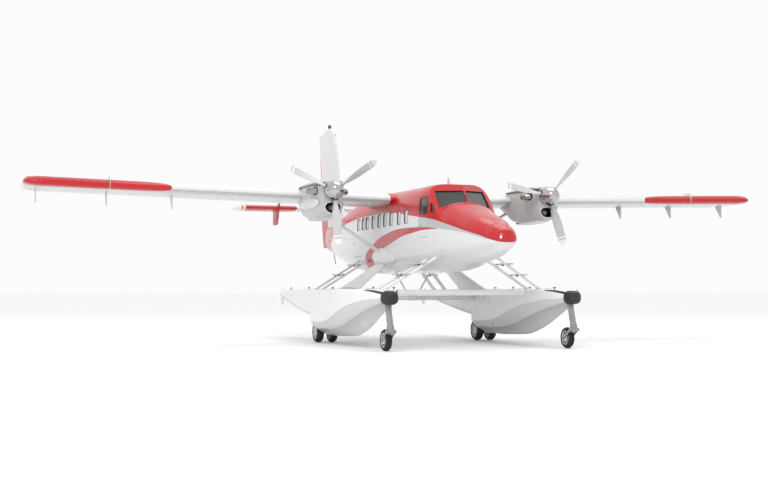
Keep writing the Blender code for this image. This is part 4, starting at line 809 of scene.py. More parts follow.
def wing_rows(x, rear, lead=0.0, trail=0.0, thick=1.0, count=36):
    """Sections from the upper rear edge round the nose to the lower one; the shares of the chord
    go as 1 - cos, so that the points lie closest at the nose."""
    x, rear, lead, trail, thick = (np.reshape(value, (-1, 1)) for value in (x, rear, lead, trail, thick))
    chord = CHORD - lead - trail
    last = np.minimum((rear - lead) / chord, 1.0)
    share = last * (1 - np.cos(np.pi / 2 * np.arange(count + 1) / count))
    middle, half = aerofoil(share)
    depth = lead + share * chord
    top = wing_place(x, depth, (middle + half * thick) * chord)
    bottom = wing_place(x, depth, (middle - half * thick) * chord)
    return np.concatenate([top[:, ::-1], bottom[:, 1:]], axis=1)


def plate(outline, x, half):
    """A thin plate over an outline of stations and heights, its edges drawn in a little."""
    middle = outline.mean(axis=0)
    drawn = middle + (outline - middle) * 0.96
    rings = ((drawn, -half), (outline, -half * 0.5), (outline, half * 0.5), (drawn, half))
    return tube(np.stack([place(x + out, ring[:, 0], ring[:, 1]) for ring, out in rings]))


def fence(side):
    """A plate along the nose of the section: out from the skin by a bump that is highest over
    the front of the upper side."""
    t = np.linspace(-0.55, 1.0, 60)
    share = 0.30 * t ** 2
    middle, half = aerofoil(share)
    contour = np.stack([share * CHORD, (middle + np.sign(t) * half) * CHORD], axis=-1)
    along = np.gradient(contour, axis=0)
    along /= np.linalg.norm(along, axis=1, keepdims=True)
    normal = np.stack([-along[:, 1], along[:, 0]], axis=-1)
    rise = 0.014 + 0.075 * np.exp(-((t - 0.42) / 0.24) ** 2)
    rise *= np.clip((1.0 - t) / 0.2, 0.05, 1.0)
    rings = []
    for reach, out in ((-0.015, -0.005), (rise, -0.005), (rise, 0.005), (-0.015, 0.005)):
        spot = contour + normal * np.reshape(reach, (-1, 1))
        rings.append(wing_place(side * (FENCE_OUT + out), spot[:, 0], spot[:, 1]))
    return tube(np.stack(rings, axis=1))


def below(tree, height, line, soft=0.003):
    """1 under a line and 0 over it."""
    rise = maths(tree, "SUBTRACT", height, line)
    return ramp(tree, rise, -soft, soft, 1.0, 0.0)


def white_and_red(tree, spot, red_share, shade_share=0.0):
    """The aircraft's white, turning to light grey as painted shade where that share is 1, and red where its
    share is 1, all clouding a little darker."""
    wash = cloud(tree, spot, 0.9, 4.0, 0.0, 0.5)
    white = blended(tree, wash, WHITE, (0.65, 0.65, 0.645))
    white = blended(tree, shade_share, white, UNDER_SHADE_GREY)
    return blended(tree, red_share, white, blended(tree, wash, RED, (0.42, 0.010, 0.013)))


def wing_paint_and_shade():
    """White wing skin, light grey under the chord line as painted shade; red at the root and on the boot,
    whose inner end tapers to a point."""
    made, tree, shader, spot = new_finish("wing_paint_and_shade", coat=0.25, specular=0.35)
    axes = wire(tree, "ShaderNodeSeparateXYZ", spot).node.outputs
    out = maths(tree, "ABSOLUTE", axes[0])
    station = maths(tree, "SUBTRACT", axes[1], WING_LEAD_Y)
    boot = below(tree, station, edge_curve(tree, BOOT_EDGE, out))
    root = ramp(tree, out, 0.895, 0.90, 1.0, 0.0)
    red_share = maths(tree, "MAXIMUM", boot, root)
    line = maths(tree, "MULTIPLY", out, WING_RISE)
    drop = maths(tree, "MULTIPLY", station, math.tan(WING_INCIDENCE))
    line = maths(tree, "SUBTRACT", line, drop)
    line = maths(tree, "ADD", line, WING_LEAD_Z - WING_RISE * 0.86 - 0.03)
    # Under the chord line the white gives way to light grey: painted shade.
    colour = white_and_red(tree, spot, red_share, below(tree, axes[2], line, 0.012))
    tree.links.new(colour, shader.inputs["Base Color"])
    panel_relief(tree, shader, spot, (0.34, 1.02), 0.24, (1.75, 2.42, 3.25, 4.10, 5.20, 6.28, 7.30, 8.50))
    return made


def set_in_hull(rows, side):
    """Moves the first row in to 30 mm under the fuselage skin, no nearer the middle than the
    wing's own root."""
    reach = hull_side(rows[0, :, 1] - WING_LEAD_Y, rows[0, :, 2]) - 0.03
    rows[0, :, 0] = side * np.maximum(reach, WING_ROOT)
    return rows


wing_finish = wing_paint_and_shade()
control_finish = plain_finish("control_surface_white", WHITE, rough=0.3, vary=0.06, mottle=1.2,
                              grain=30.0, shift=0.07, coat=0.2, specular=0.35)
fence_finish = plain_finish("fence_white", (0.69, 0.69, 0.685), rough=0.35, mottle=3.0, shift=0.08)
for suffix, side in (("left", 1.0), ("right", -1.0)):
    tip_outs = TIP_TABLE[0][0] + (TIP_TABLE[-1][0] - TIP_TABLE[0][0]) * np.sin(np.linspace(0, np.pi / 2, 18))
    tip_lead, tip_trail, tip_thick = glide(TIP_TABLE, tip_outs).T
    inner_outs = np.array([0.70, FLAP_INNER - 0.008])
    inner = set_in_hull(wing_rows(side * inner_outs, CHORD), side)
    outer = set_in_hull(wing_rows(side * np.linspace(0.90, REAR_CUT_OUT, 48), REAR_FACE), side)
    wing = thing("wing_skin_" + suffix, [tube(inner), tube(outer)], (wing_finish,), 40.0)
    fit(wing, "airframe", "airframe_white", "wing_" + suffix)
    tip = thing("wing_tip_" + suffix,
                [tube(wing_rows(side * tip_outs, CHORD - tip_trail, tip_lead, tip_trail, tip_thick))],
                (wing_finish,), 50.0)
    fit(tip, "airframe", "airframe_red")
    hinge_plates = []
    for out in BRACKET_OUTS:
        middle, half = aerofoil(np.array([0.6]))
        foot = wing_place(side * out, 1.2, (middle[0] - half[0]) * CHORD)
        y0, z0 = foot[1] - WING_LEAD_Y, foot[2]
        outline = np.array([(y0 - 0.17, z0 + 0.04), (y0 - 0.17, z0 - 0.315), (y0 - 0.155, z0 - 0.33),
                            (y0 - 0.115, z0 - 0.33), (y0 - 0.10, z0 - 0.31), (y0 + 0.16, z0 + 0.04)])
        hinge_plates.append(plate(outline, side * out, 0.012))
    fit(thing("hinge_plates_" + suffix, hinge_plates, (fence_finish,)), "airframe", "airframe_white")
    fit(thing("stall_fence_" + suffix, [fence(side)], (fence_finish,), 50.0), "airframe", "airframe_white")
    for surface in ("flap_", "aileron_"):
        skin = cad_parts[surface + suffix].data
        skin.materials.clear()
        skin.materials.append(control_finish)

# Nacelles: a pale cowling round each turbine, hung ahead of and under the wing. The chin
# holds a polished-lipped air intake, and a bright exhaust elbow stands out of each flank.
NACELLE_X = 2.833
SHAFT_Z = 3.739
# Station, bottom, waist, top, half width, squareness below, squareness above
NACELLE_TABLE = [
    (-1.40, 3.15, 3.60, 3.98, 0.245, 2.3, 2.4),
    (-1.32, 3.125, 3.60, 3.995, 0.285, 2.6, 3.0),
    (-1.05, 3.105, 3.60, 4.00, 0.330, 3.6, 4.6),
    (-0.20, 3.10, 3.60, 4.00, 0.375, 5.0, 6.5),
    (0.20, 3.20, 3.60, 3.99, 0.380, 5.0, 6.5),
    (0.45, 3.32, 3.62, 3.97, 0.340, 4.0, 5.0),
    (0.90, 3.42, 3.66, 3.93, 0.255, 3.0, 3.4),
    (1.36, 3.54, 3.68, 3.84, 0.110, 2.4, 2.4),
]
# Shoulder strake: station, half width over the edge, height of the edge, drop to its root
STRAKE_TABLE = [(-1.38, 0.275, 3.935, 0.05), (-1.25, 0.340, 3.955, 0.10), (-0.80, 0.385, 3.960, 0.10),
                (-0.10, 0.412, 3.945, 0.075), (0.30, 0.415, 3.925, 0.03)]
INTAKE_Z = 3.335
INTAKE_HALF = (0.195, 0.142)
INTAKE_BACK = -1.0
EXHAUST_Z = 3.745
EXHAUST_RADIUS = 0.082
NACELLE_GREY = (0.50, 0.505, 0.505)


def turned(profile, centre, axis=1, sides=48):
    """A closed turned shape: profile points are a radius and a distance along the axis, which
    is x for 0, y for 1 and z for 2, each swept round a full circle."""
    profile = np.array(profile, float)
    turn = 2 * np.pi * np.arange(sides) / sides
    radius, along = profile[:, :1], np.broadcast_to(profile[:, 1:], (len(profile), sides))
    across, up = radius * np.cos(turn), radius * np.sin(turn)
    order = ([along, across, up], [across, along, up], [across, up, along])[axis]
    return tube(np.stack(order, axis=-1) + np.array(centre))


def swept(path, wide, tall, up=(0.0, 0.0, 1.0), sides=24):
    """Rings along a path: ellipses that are wide along the cross of up and the path's own
    direction, and tall along what is square to both."""
    path = np.asarray(path, float)
    along = np.gradient(path, axis=0)
    along /= np.linalg.norm(along, axis=1, keepdims=True)
    across = np.cross(np.broadcast_to(up, along.shape), along)
    across /= np.linalg.norm(across, axis=1, keepdims=True)
    over = np.cross(along, across)
    turn = (2 * np.pi * (np.arange(sides) + 0.5) / sides)[None, :, None]
    wide, tall = (np.broadcast_to(value, len(path)).reshape(-1, 1, 1) for value in (wide, tall))
    return path[:, None] + wide * across[:, None] * np.cos(turn) + tall * over[:, None] * np.sin(turn)


def rod(start, end, wide, tall=None, up=(0.0, 0.0, 1.0), sides=24):
    """A straight round or flattened rod between two points."""
    tall = wide if tall is None else tall
    return tube(swept(np.stack([np.asarray(start), np.asarray(end)]), wide, tall, up, sides))


def nacelle_shell(x0):
    """The cowling's skin, its front edge rounded in by a quarter circle."""
    stations = np.concatenate([np.full(5, -1.40), np.linspace(-1.385, 1.36, 70)])
    curl = np.concatenate([np.linspace(0.0, np.pi / 2, 6)[:5], np.full(70, np.pi / 2)])
    inset = 0.016 * (1 - np.sin(curl))[:, None]
    stations = stations + np.where(curl < np.pi / 2, 0.016 * (1 - np.cos(curl)), 0.0)
    x, z = oval_rings(glide(NACELLE_TABLE, stations), inset, 72)
    grid = place(x0 + x, stations[:, None], z)
    middle = grid[-1].mean(axis=0)
    share = np.array([0.85, 0.5, 0.15])[:, None, None]
    dome = middle + (grid[-1] - middle) * share
    dome[..., 1] += 0.05 * np.sqrt(1 - share[..., 0] ** 2)
    return tube(np.concatenate([grid, dome]))


def strake_shell(x0, side):
    """A sharp ledge along the cowling's shoulder: a triangle from the edge down and in to the
    flank, and in over the top."""
    stations = np.linspace(STRAKE_TABLE[0][0], STRAKE_TABLE[-1][0], 40)
    half, edge, drop = glide(STRAKE_TABLE, stations).T
    high, body = glide(NACELLE_TABLE, stations).T[2:4]
    ring = ((half, edge), (half - 0.002, edge - 0.008), (body - 0.012, edge - drop),
            (body - 0.06, edge - drop), (body - 0.08, high - 0.012), (body - 0.05, high - 0.004),
            (half - 0.006, edge + 0.006))
    return tube(np.stack([place(x0 + side * out, stations, z) for out, z in ring], axis=1))


def d_loop(x0, station, z, half, sides=64):
    """An intake's outline: the sine's power 0.6 squares off its upper half."""
    turn = 2 * np.pi * (np.arange(sides) + 0.5) / sides
    c, s = np.cos(turn), np.sin(turn)
    across = np.where(s > 0, np.sign(c) * np.abs(c) ** 0.72, c)
    up = np.where(s > 0, 0.86 * np.abs(s) ** 0.72, s)
    return place(x0 + half[0] * across, station, z + half[1] * up)


def blister(centre, half, power=2.0, rows=28, sides=32):
    """A long fairing along the stations: circles whose radius goes as the square root of
    1 - |t|^power, drawn out to the half sizes."""
    t = np.sin(np.linspace(-np.pi / 2 + 0.02, np.pi / 2 - 0.02, rows))[:, None]
    radius = np.sqrt(np.maximum(1 - np.abs(t) ** power, 0.0))
    turn = 2 * np.pi * np.arange(sides)[None, :] / sides
    return tube(place(centre[0] + half[0] * radius * np.cos(turn), centre[1] + half[1] * t,
                      centre[2] + half[2] * radius * np.sin(turn)))


nacelle_finish = new_finish("nacelle_paint", coat=0.2, specular=0.35)
cowl_made, cowl_tree, cowl_shader, cowl_spot = nacelle_finish
cowl_tree.links.new(blended(cowl_tree, cloud(cowl_tree, cowl_spot, 1.6, 4.0), NACELLE_GREY,
                            (0.44, 0.445, 0.45)), cowl_shader.inputs["Base Color"])
panel_relief(cowl_tree, cowl_shader, cowl_spot, (-1.18, -0.50, 0.22), 0.28)
# Ledges: a light grey top along the edge as a painted highlight, and near black under height 3.932 as painted
# shade.
ledge_light_and_shade_finish, ledge_tree, ledge_shader, ledge_spot = new_finish("ledge_painted_light_and_shade", coat=0.2, specular=0.35)
ledge_z = wire(ledge_tree, "ShaderNodeSeparateXYZ", ledge_spot).node.outputs[2]
ledge_highlight = blended(ledge_tree, cloud(ledge_tree, ledge_spot, 1.6, 4.0), (0.60, 0.60, 0.60),
                    (0.52, 0.52, 0.52))
ledge_tree.links.new(blended(ledge_tree, below(ledge_tree, ledge_z, 3.932), ledge_highlight, (0.13, 0.125, 0.12)),
                     ledge_shader.inputs["Base Color"])
panel_relief(ledge_tree, ledge_shader, ledge_spot, (-0.50,), 0.3)
duct_finish = plain_finish("intake_duct", (0.055, 0.057, 0.06), rough=0.5, mottle=4.0, shift=0.4)
lip_finish = plain_finish("polished_lip", (0.78, 0.78, 0.78), rough=0.15, vary=0.05, grain=250.0,
                          depth=0.0002, shift=0.06, metallic=1.0)
exhaust_finish = plain_finish("exhaust_steel", (0.46, 0.44, 0.41), rough=0.16, vary=0.12, mottle=9.0,
                              grain=120.0, shift=0.55, metallic=1.0)
soot_and_shade_finish = plain_finish("exhaust_soot_and_painted_shade", (0.020, 0.019, 0.018), rough=0.8, mottle=8.0, shift=0.3)

for suffix, side in (("left", 1.0), ("right", -1.0)):
    x0 = side * NACELLE_X
    cowl = thing("cowling_" + suffix, [nacelle_shell(x0)], (cowl_made, duct_finish), 40.0)
    duct = np.stack([d_loop(x0, station, INTAKE_Z, np.array(INTAKE_HALF) * scale)
                     for station, scale in ((-1.60, 1.0), (-1.36, 1.0), (-1.20, 0.93), (INTAKE_BACK, 0.80))])
    shaft_room = turned([(0.075, 0.0), (0.075, 0.50)], place(x0, -1.60, SHAFT_Z))
    cutter = thing("duct_form", [tube(duct), shaft_room], (cowl_made, duct_finish))
    cutter.data.polygons.foreach_set("material_index", np.full(len(cutter.data.polygons), 1, np.int32))
    carve(cowl, cutter, "DIFFERENCE")
    smooth_shade(cowl.data, 40.0)
    fit(cowl, "airframe", "nacelle_grey", "nacelle_" + suffix)
    chin = round_box(-0.26, 0.07, 3.08, 3.40, 0.05)
    chin_rows = [place(x0 + out, chin[:, 0] * (1 - draw) - 0.095 * draw, chin[:, 1] + draw * 0.05)
                 for out, draw in ((-0.225, 0.18), (-0.21, 0.05), (-0.19, 0.0), (0.19, 0.0), (0.21, 0.05),
                                   (0.225, 0.18))]
    strakes = [strake_shell(x0, way) for way in (1.0, -1.0)]
    fit(thing("cowl_chin_" + suffix, [tube(np.stack(chin_rows))], (cowl_made,), 30.0), "airframe",
        "nacelle_grey")
    fit(thing("cowl_ledges_" + suffix, strakes, (ledge_light_and_shade_finish,), 30.0), "airframe", "nacelle_grey")
    cheek = blister((x0 + side * 0.330, -0.44, 3.468), (0.085, 0.86, 0.135), 2.6)
    fit(thing("strut_head_fairing_" + suffix, [cheek], (fence_finish,), 50.0), "airframe", "airframe_white")
    lip_path = d_loop(x0, -1.398, INTAKE_Z, INTAKE_HALF, 72)
    turn = 2 * np.pi * np.arange(10) / 10
    spread = (lip_path - place(x0, -1.398, INTAKE_Z)) / np.array([INTAKE_HALF[0], 1.0, INTAKE_HALF[1]])
    lip = np.stack([lip_path + spread * 0.011 * math.cos(a) + np.array([0.0, 0.010 * math.sin(a), 0.0])
                    for a in turn])
    fit(thing("intake_lip_" + suffix, [tube(lip, ring=True)], (lip_finish,), 60.0), "airframe",
        "spinner_chrome")
    splitter = turned([(0.001, -1.235), (0.045, -1.215), (0.075, -1.16), (0.085, -1.08), (0.085, -0.99)],
                      np.array([x0 + 0.02, WING_LEAD_Y, INTAKE_Z - 0.005]))
    fit(thing("intake_splitter_" + suffix, [splitter], (cowl_made,), 50.0), "airframe", "nacelle_grey")
    core = turned([(0.001, -1.099), (0.15, -1.09), (0.20, -1.05), (0.205, -0.90), (0.22, -0.89),
                   (0.22, -0.86), (0.205, -0.85), (0.21, -0.55), (0.22, -0.54), (0.22, -0.51),
                   (0.20, -0.50), (0.19, -0.18), (0.12, -0.12), (0.001, -0.12)],
                  np.array([x0, WING_LEAD_Y, SHAFT_Z]))
    elbows, soot_and_shade = [], []
    for way in (1.0, -1.0):
        t = np.linspace(0.0, 1.0, 14)
        path = place(x0 + way * (0.14 + 0.335 * np.sin(t * 1.30)), -1.07 + 0.21 * t ** 1.4,
                     EXHAUST_Z + 0.01 * t)
        outer = swept(path, EXHAUST_RADIUS, EXHAUST_RADIUS, sides=36)
        inner = swept(path, EXHAUST_RADIUS - 0.007, EXHAUST_RADIUS - 0.007, sides=36)
        elbows.append(tube(np.concatenate([outer, inner[::-1]]), ring=True))
        # A near-black filling in each pipe's bore: soot, and painted shade inside the pipe.
        soot_and_shade.append(tube(swept(path[:-2], EXHAUST_RADIUS - 0.008, EXHAUST_RADIUS - 0.008, sides=36)))
        # A near-black ring on the cowl round each pipe, and a disc filling its hole, stand in for the dark
        # gap into the cowl: painted shade.
        a = 2 * np.pi * np.arange(40) / 40
        rim = [place(x0 + way * (glide(NACELLE_TABLE, -1.02 + 0.16 * np.cos(a))[:, 3] + lift),
                     -1.02 + (0.16 + grow) * np.cos(a), EXHAUST_Z + (0.088 + grow) * np.sin(a))
               for lift, grow in ((-0.012, 0.012), (0.003, 0.010), (0.003, 0.0), (-0.012, 0.0))]
        middle = place(x0 + way * (0.338 - 0.012), -1.02, EXHAUST_Z)
        rim = np.stack(rim)
        soot_and_shade.append(tube(rim, ring=True))
        hole = middle + (rim[1] - middle) * np.array([0.98, 0.5, 0.02]).reshape(3, 1, 1)
        back = hole[::-1] - np.array([way * 0.006, 0.0, 0.0])
        soot_and_shade.append(tube(np.concatenate([hole, back]), ring=True))
    fit(thing("engine_core_" + suffix, [core, *elbows], (exhaust_finish,), 40.0), "airframe", "engine_metal",
        "engine_" + suffix)
    fit(thing("exhaust_shade_rings_" + suffix, soot_and_shade, (soot_and_shade_finish,), 40.0), "airframe", "interior_dark")

# Propellers: three twisted aluminium blades on a steel hub, painted grey with white tips,
# each root clamped in a collar under a polished spinner.
PROP_STATION = -1.50
PROP_RADIUS = 1.295
SPINNER_RADIUS = 0.235
SPINNER_LONG = 0.34
FIRST_BLADE_DEG = {"left": 48.0, "right": 35.0}
# Blade: share of the radius, chord, pitch in degrees, half thickness
BLADE_TABLE = [(0.165, 0.10, 80.0, 0.040), (0.28, 0.17, 62.0, 0.026), (0.50, 0.225, 44.0, 0.015),
               (0.75, 0.215, 32.0, 0.010), (0.94, 0.175, 26.0, 0.006), (1.00, 0.10, 25.0, 0.003)]


def blade_shell(hub, turn_deg):
    """A blade: lens-shaped sections across the direction out, turned from the disc plane by a
    pitch that falls towards the tip."""
    turn = math.radians(turn_deg)
    out = np.array([math.cos(turn), 0.0, math.sin(turn)])
    forward = np.array([0.0, -1.0, 0.0])
    tangent = np.cross(forward, out)
    share = 0.165 + 0.835 * np.sin(np.linspace(0.0, np.pi / 2, 40))
    chord, pitch, half = glide(BLADE_TABLE, share).T
    pitch = np.radians(pitch)[:, None]
    along = tangent * np.cos(pitch) + forward * np.sin(pitch)
    across = forward * np.cos(pitch) - tangent * np.sin(pitch)
    a = (2 * np.pi * np.arange(28) / 28)[None, :, None]
    grid = (hub + (out * share[:, None] * PROP_RADIUS)[:, None]
            + along[:, None] * (chord / 2)[:, None, None] * np.cos(a)
            + across[:, None] * half[:, None, None] * np.sin(a))
    return tube(grid)


def blade_paint(x0):
    """Satin grey blades whose last tenth is white, found from the distance to the shaft."""
    made, tree, shader, spot = new_finish("blade_paint_" + ("left" if x0 > 0 else "right"), coat=0.15)
    axes = wire(tree, "ShaderNodeSeparateXYZ", spot).node.outputs
    out = maths(tree, "SUBTRACT", axes[0], x0)
    rise = maths(tree, "SUBTRACT", axes[2], SHAFT_Z)
    reach = maths(tree, "ADD", maths(tree, "POWER", out, 2.0), maths(tree, "POWER", rise, 2.0))
    reach = maths(tree, "SQRT", reach)
    tip = ramp(tree, reach, 1.165, 1.17)
    line = both(tree, ramp(tree, reach, 1.08, 1.085),
                ramp(tree, reach, 1.115, 1.12, 1.0, 0.0))
    pale = maths(tree, "MAXIMUM", tip, line)
    grey = blended(tree, cloud(tree, spot, 5.0), (0.56, 0.565, 0.57), (0.50, 0.505, 0.51))
    tree.links.new(blended(tree, pale, grey, (0.80, 0.80, 0.79)), shader.inputs["Base Color"])
    surface_feel(tree, shader, spot, 0.32, 0.06, 90.0, 0.0003)
    return made


hub_finish = plain_finish("hub_steel", (0.30, 0.30, 0.31), rough=0.35, mottle=10.0, shift=0.3, metallic=1.0)
spinner_finish = plain_finish("spinner_chrome_polish", (0.50, 0.50, 0.51), rough=0.09, vary=0.03,
                              grain=200.0, depth=0.00015, shift=0.10, metallic=1.0)
cuff_finish = plain_finish("blade_root_rubber", (0.028, 0.028, 0.03), rough=0.6, mottle=9.0, shift=0.3)
for suffix, side in (("left", 1.0), ("right", -1.0)):
    x0 = side * NACELLE_X
    hub = place(x0, PROP_STATION, SHAFT_Z)
    body = "propeller_" + suffix
    blades, roots, cuffs = [], [], []
    for blade in range(3):
        turn_deg = FIRST_BLADE_DEG[suffix] + 120.0 * blade
        out = np.array([math.cos(math.radians(turn_deg)), 0.0, math.sin(math.radians(turn_deg))])
        blades.append(blade_shell(hub, turn_deg))
        roots.append(rod(hub + out * 0.05, hub + out * 0.255, 0.052, up=(0.0, 1.0, 0.0)))
        cuffs.append(rod(hub + out * 0.205, hub + out * 0.238, 0.068, up=(0.0, 1.0, 0.0)))
    fit(thing("blades_" + suffix, blades, (blade_paint(x0),), 50.0), body, "propeller_grey",
        "propeller_" + suffix)
    hub_shell = turned([(0.001, -0.11), (0.11, -0.11), (0.13, -0.09), (0.13, 0.06), (0.10, 0.09),
                        (0.06, 0.09), (0.06, 0.40), (0.001, 0.40)], hub)
    fit(thing("hub_" + suffix, [hub_shell, *roots], (hub_finish,), 40.0), body, "engine_metal")
    backing = turned([(0.15, 0.094), (0.232, 0.094), (0.232, 0.099), (0.15, 0.099)], hub)
    fit(thing("blade_cuffs_" + suffix, [backing, *cuffs], (cuff_finish,)), body, "bow_rubber")
    t = np.linspace(np.pi / 2 - 0.004, 0.0, 32)
    profile = [(SPINNER_RADIUS * math.cos(a), -SPINNER_LONG * math.sin(a)) for a in t]
    profile += [(SPINNER_RADIUS, 0.05), (SPINNER_RADIUS, 0.085), (SPINNER_RADIUS - 0.006, 0.092),
                (SPINNER_RADIUS - 0.006, 0.095), (0.14, 0.095), (0.14, 0.088),
                (SPINNER_RADIUS - 0.012, 0.088), (SPINNER_RADIUS - 0.012, 0.0), (0.12, -0.24),
                (0.001, -0.30)]
    fit(thing("spinner_shell_" + suffix, [turned(profile, hub, sides=72)], (spinner_finish,), 40.0), body,
        "spinner_chrome", "spinner_" + suffix)

# Tail: a tall two-spar fin with the rudder behind it, and a straight tailplane through its
# foot with a finlet under each half. All are riveted aluminium, white, with red outer panels
# on the tailplane and a red rudder foot; a small beacon stands on the fin.
# Height and leading edge's station of the fin
FIN_TABLE = [(3.30, 6.60), (3.75, 7.12), (4.85, 7.63), (6.40, 8.33), (6.585, 8.51), (6.62, 8.56)]
FIN_CAP_Z = 6.62
# Half thickness at the fin's foot and of the tailplane, and at a control surface's rear edge
FIN_FOOT_THICK = 0.10
TAILPLANE_THICK = 0.092
CONTROL_EDGE = 0.005
RUDDER_TABLE = [(2.74, 9.50), (2.89, 9.56), (5.03, 9.82), (6.51, 10.07)]
RUDDER_NOSE = 0.058
TAILPLANE_Z = 3.95
TAILPLANE_HALF_SPAN = 3.15
TAILPLANE_LEAD = 8.00
TAILPLANE_REAR = 8.86
ELEVATOR_HINGE = 8.9128
ELEVATOR_NOSE = 0.052
ELEVATOR_REAR = 9.42
FINLET_OUT = 1.88
FINLET = [(7.90, 4.09), (7.93, 4.13), (8.10, 4.13), (8.22, 4.02), (8.80, 4.00), (8.83, 3.97), (8.83, 3.46),
          (8.80, 3.43), (8.24, 3.42), (8.20, 3.44)]


def tail_half(share, thick):
    """Half thickness over a fixed surface: the wing section's, of which the surface is the
    front 62 percent, scaled to the thickness asked for."""
    return aerofoil(0.62 * share)[1] / (WING_THICK / 2) * thick


def fixed_rows(lead, rear, thick, count=24):
    """Depths and half thicknesses round a surface's front: shares of its depth go as 1 - cos,
    from the one rear corner round the leading edge to the other."""
    lead, rear, thick = (np.reshape(value, (-1, 1)) for value in (lead, rear, thick))
    share = 1 - np.cos(np.pi / 2 * np.arange(count + 1) / count)
    share = np.concatenate([share[::-1], share[1:]])
    way = np.concatenate([np.ones(count), np.zeros(1), -np.ones(count)])
    return lead + (rear - lead) * share, way * tail_half(share, thick)


def control_rows(hinge, radius, trail, edge, count=10):
    """Depths and half thicknesses round a control surface: a half circle about the hinge,
    then straight to a thin rear edge."""
    hinge, trail = np.reshape(hinge, (-1, 1)), np.reshape(trail, (-1, 1))
    turn = np.linspace(np.pi / 2, 3 * np.pi / 2, 2 * count + 1)
    share = np.linspace(0.25, 1.0, 4)
    side = radius + (edge - radius) * share
    depth = np.concatenate([np.broadcast_to(hinge + radius * np.cos(turn), (len(hinge), len(turn))),
                            hinge + (trail - hinge) * share, hinge + (trail - hinge) * share[::-1]], axis=1)
    height = np.concatenate([radius * np.sin(turn), -side, side[::-1]])
    return depth, np.broadcast_to(height, depth.shape)


def eased(line, rounds=3):
    """An outline with its corners cut off again and again, each cut a quarter of the way."""
    points = np.array(line, float)
    for _ in range(rounds):
        after = np.roll(points, -1, axis=0)
        points = np.stack([0.75 * points + 0.25 * after, 0.25 * points + 0.75 * after], axis=1).reshape(-1, 2)
    return points


def tail_paint():
    """White; red on the outer tailplane from a slanted edge out, with a thin red ring near the
    tip, and on the rudder's foot and the lower part of its rear edge."""
    made, tree, shader, spot = new_finish("tail_paint", coat=0.25, specular=0.35)
    axes = wire(tree, "ShaderNodeSeparateXYZ", spot).node.outputs
    out = maths(tree, "ABSOLUTE", axes[0])
    station = maths(tree, "SUBTRACT", axes[1], WING_LEAD_Y)
    lean = maths(tree, "MULTIPLY", maths(tree, "SUBTRACT", station, 8.40), 0.30)
    along = maths(tree, "SUBTRACT", out, lean)
    panel = both(tree, ramp(tree, along, 1.415, 1.42),
                 ramp(tree, out, 2.945, 2.95, 1.0, 0.0))
    ring = both(tree, ramp(tree, out, 3.025, 3.03),
                ramp(tree, out, 3.065, 3.07, 1.0, 0.0))
    middle = ramp(tree, out, 0.20, 0.21, 1.0, 0.0)
    edge = both(tree, middle, ramp(tree, axes[2], 5.695, 5.70, 1.0, 0.0),
                above(tree, station, ramp(tree, axes[2], 2.74, 6.51, 9.38, 9.935)))
    foot = both(tree, middle, ramp(tree, axes[2], 3.895, 3.90, 1.0, 0.0),
                ramp(tree, station, 8.76, 8.77))
    red_share = panel
    for share in (ring, edge, foot):
        red_share = maths(tree, "MAXIMUM", red_share, share)
    tree.links.new(white_and_red(tree, spot, red_share), shader.inputs["Base Color"])
    panel_relief(tree, shader, spot, (8.28,), 0.26, (0.42, 1.15, 1.88, 2.60))
    return made


tail_finish = tail_paint()
finlet_finish = plain_finish("finlet_red", RED, rough=0.3, vary=0.06, mottle=2.0, shift=0.12, coat=0.2,
                             specular=0.35)
beacon_finish = plain_finish("beacon_glass", (0.10, 0.012, 0.010), rough=0.12, vary=0.04, mottle=14.0,
                             shift=0.3, coat=0.6)
rise = np.concatenate([np.linspace(3.30, 6.585, 40), [6.605, FIN_CAP_Z]])
shrink = np.concatenate([np.ones(40), [0.75, 0.35]])
thick = FIN_FOOT_THICK * (1 - 0.07 * (rise - FIN_FOOT_Z)) * shrink
depth, half = fixed_rows(glide(FIN_TABLE, rise)[:, 0], fin_rear(rise), thick)
fit(thing("fin_skin", [tube(place(half, depth, rise[:, None]))], (tail_finish,), 40.0), "airframe",
    "airframe_white", "fin")
rise = np.concatenate([[2.74, 2.755], np.linspace(2.78, 6.48, 30), [6.50, 6.51]])
shrink = np.concatenate([[0.55, 0.85], np.ones(30), [0.85, 0.55]])[:, None]
depth, half = control_rows(fin_rear(rise) + RUDDER_NOSE + 0.0008, RUDDER_NOSE,
                           glide(RUDDER_TABLE, rise)[:, 0], CONTROL_EDGE)
fit(thing("rudder_skin", [tube(place(half * shrink, depth, rise[:, None]))], (tail_finish,), 40.0), "rudder",
    "airframe_white", "rudder")
angle = np.linspace(0.0, np.pi / 2, 8)
tip_outs = TAILPLANE_HALF_SPAN - 0.10 * (1 - np.sin(angle))
outs = np.concatenate([-tip_outs[::-1], np.linspace(-3.04, 3.04, 60), tip_outs])
set_back = np.concatenate([0.22 * (1 - np.cos(angle[::-1])), np.zeros(60), 0.22 * (1 - np.cos(angle))])
shrink = np.concatenate([np.cos(angle[::-1] * 0.85), np.ones(60), np.cos(angle * 0.85)])
depth, half = fixed_rows(TAILPLANE_LEAD + set_back, np.full(len(outs), TAILPLANE_REAR),
                         TAILPLANE_THICK * shrink)
fit(thing("tailplane_skin", [tube(place(outs[:, None], depth, TAILPLANE_Z + half))], (tail_finish,), 40.0),
    "airframe", "airframe_white", "tailplane")
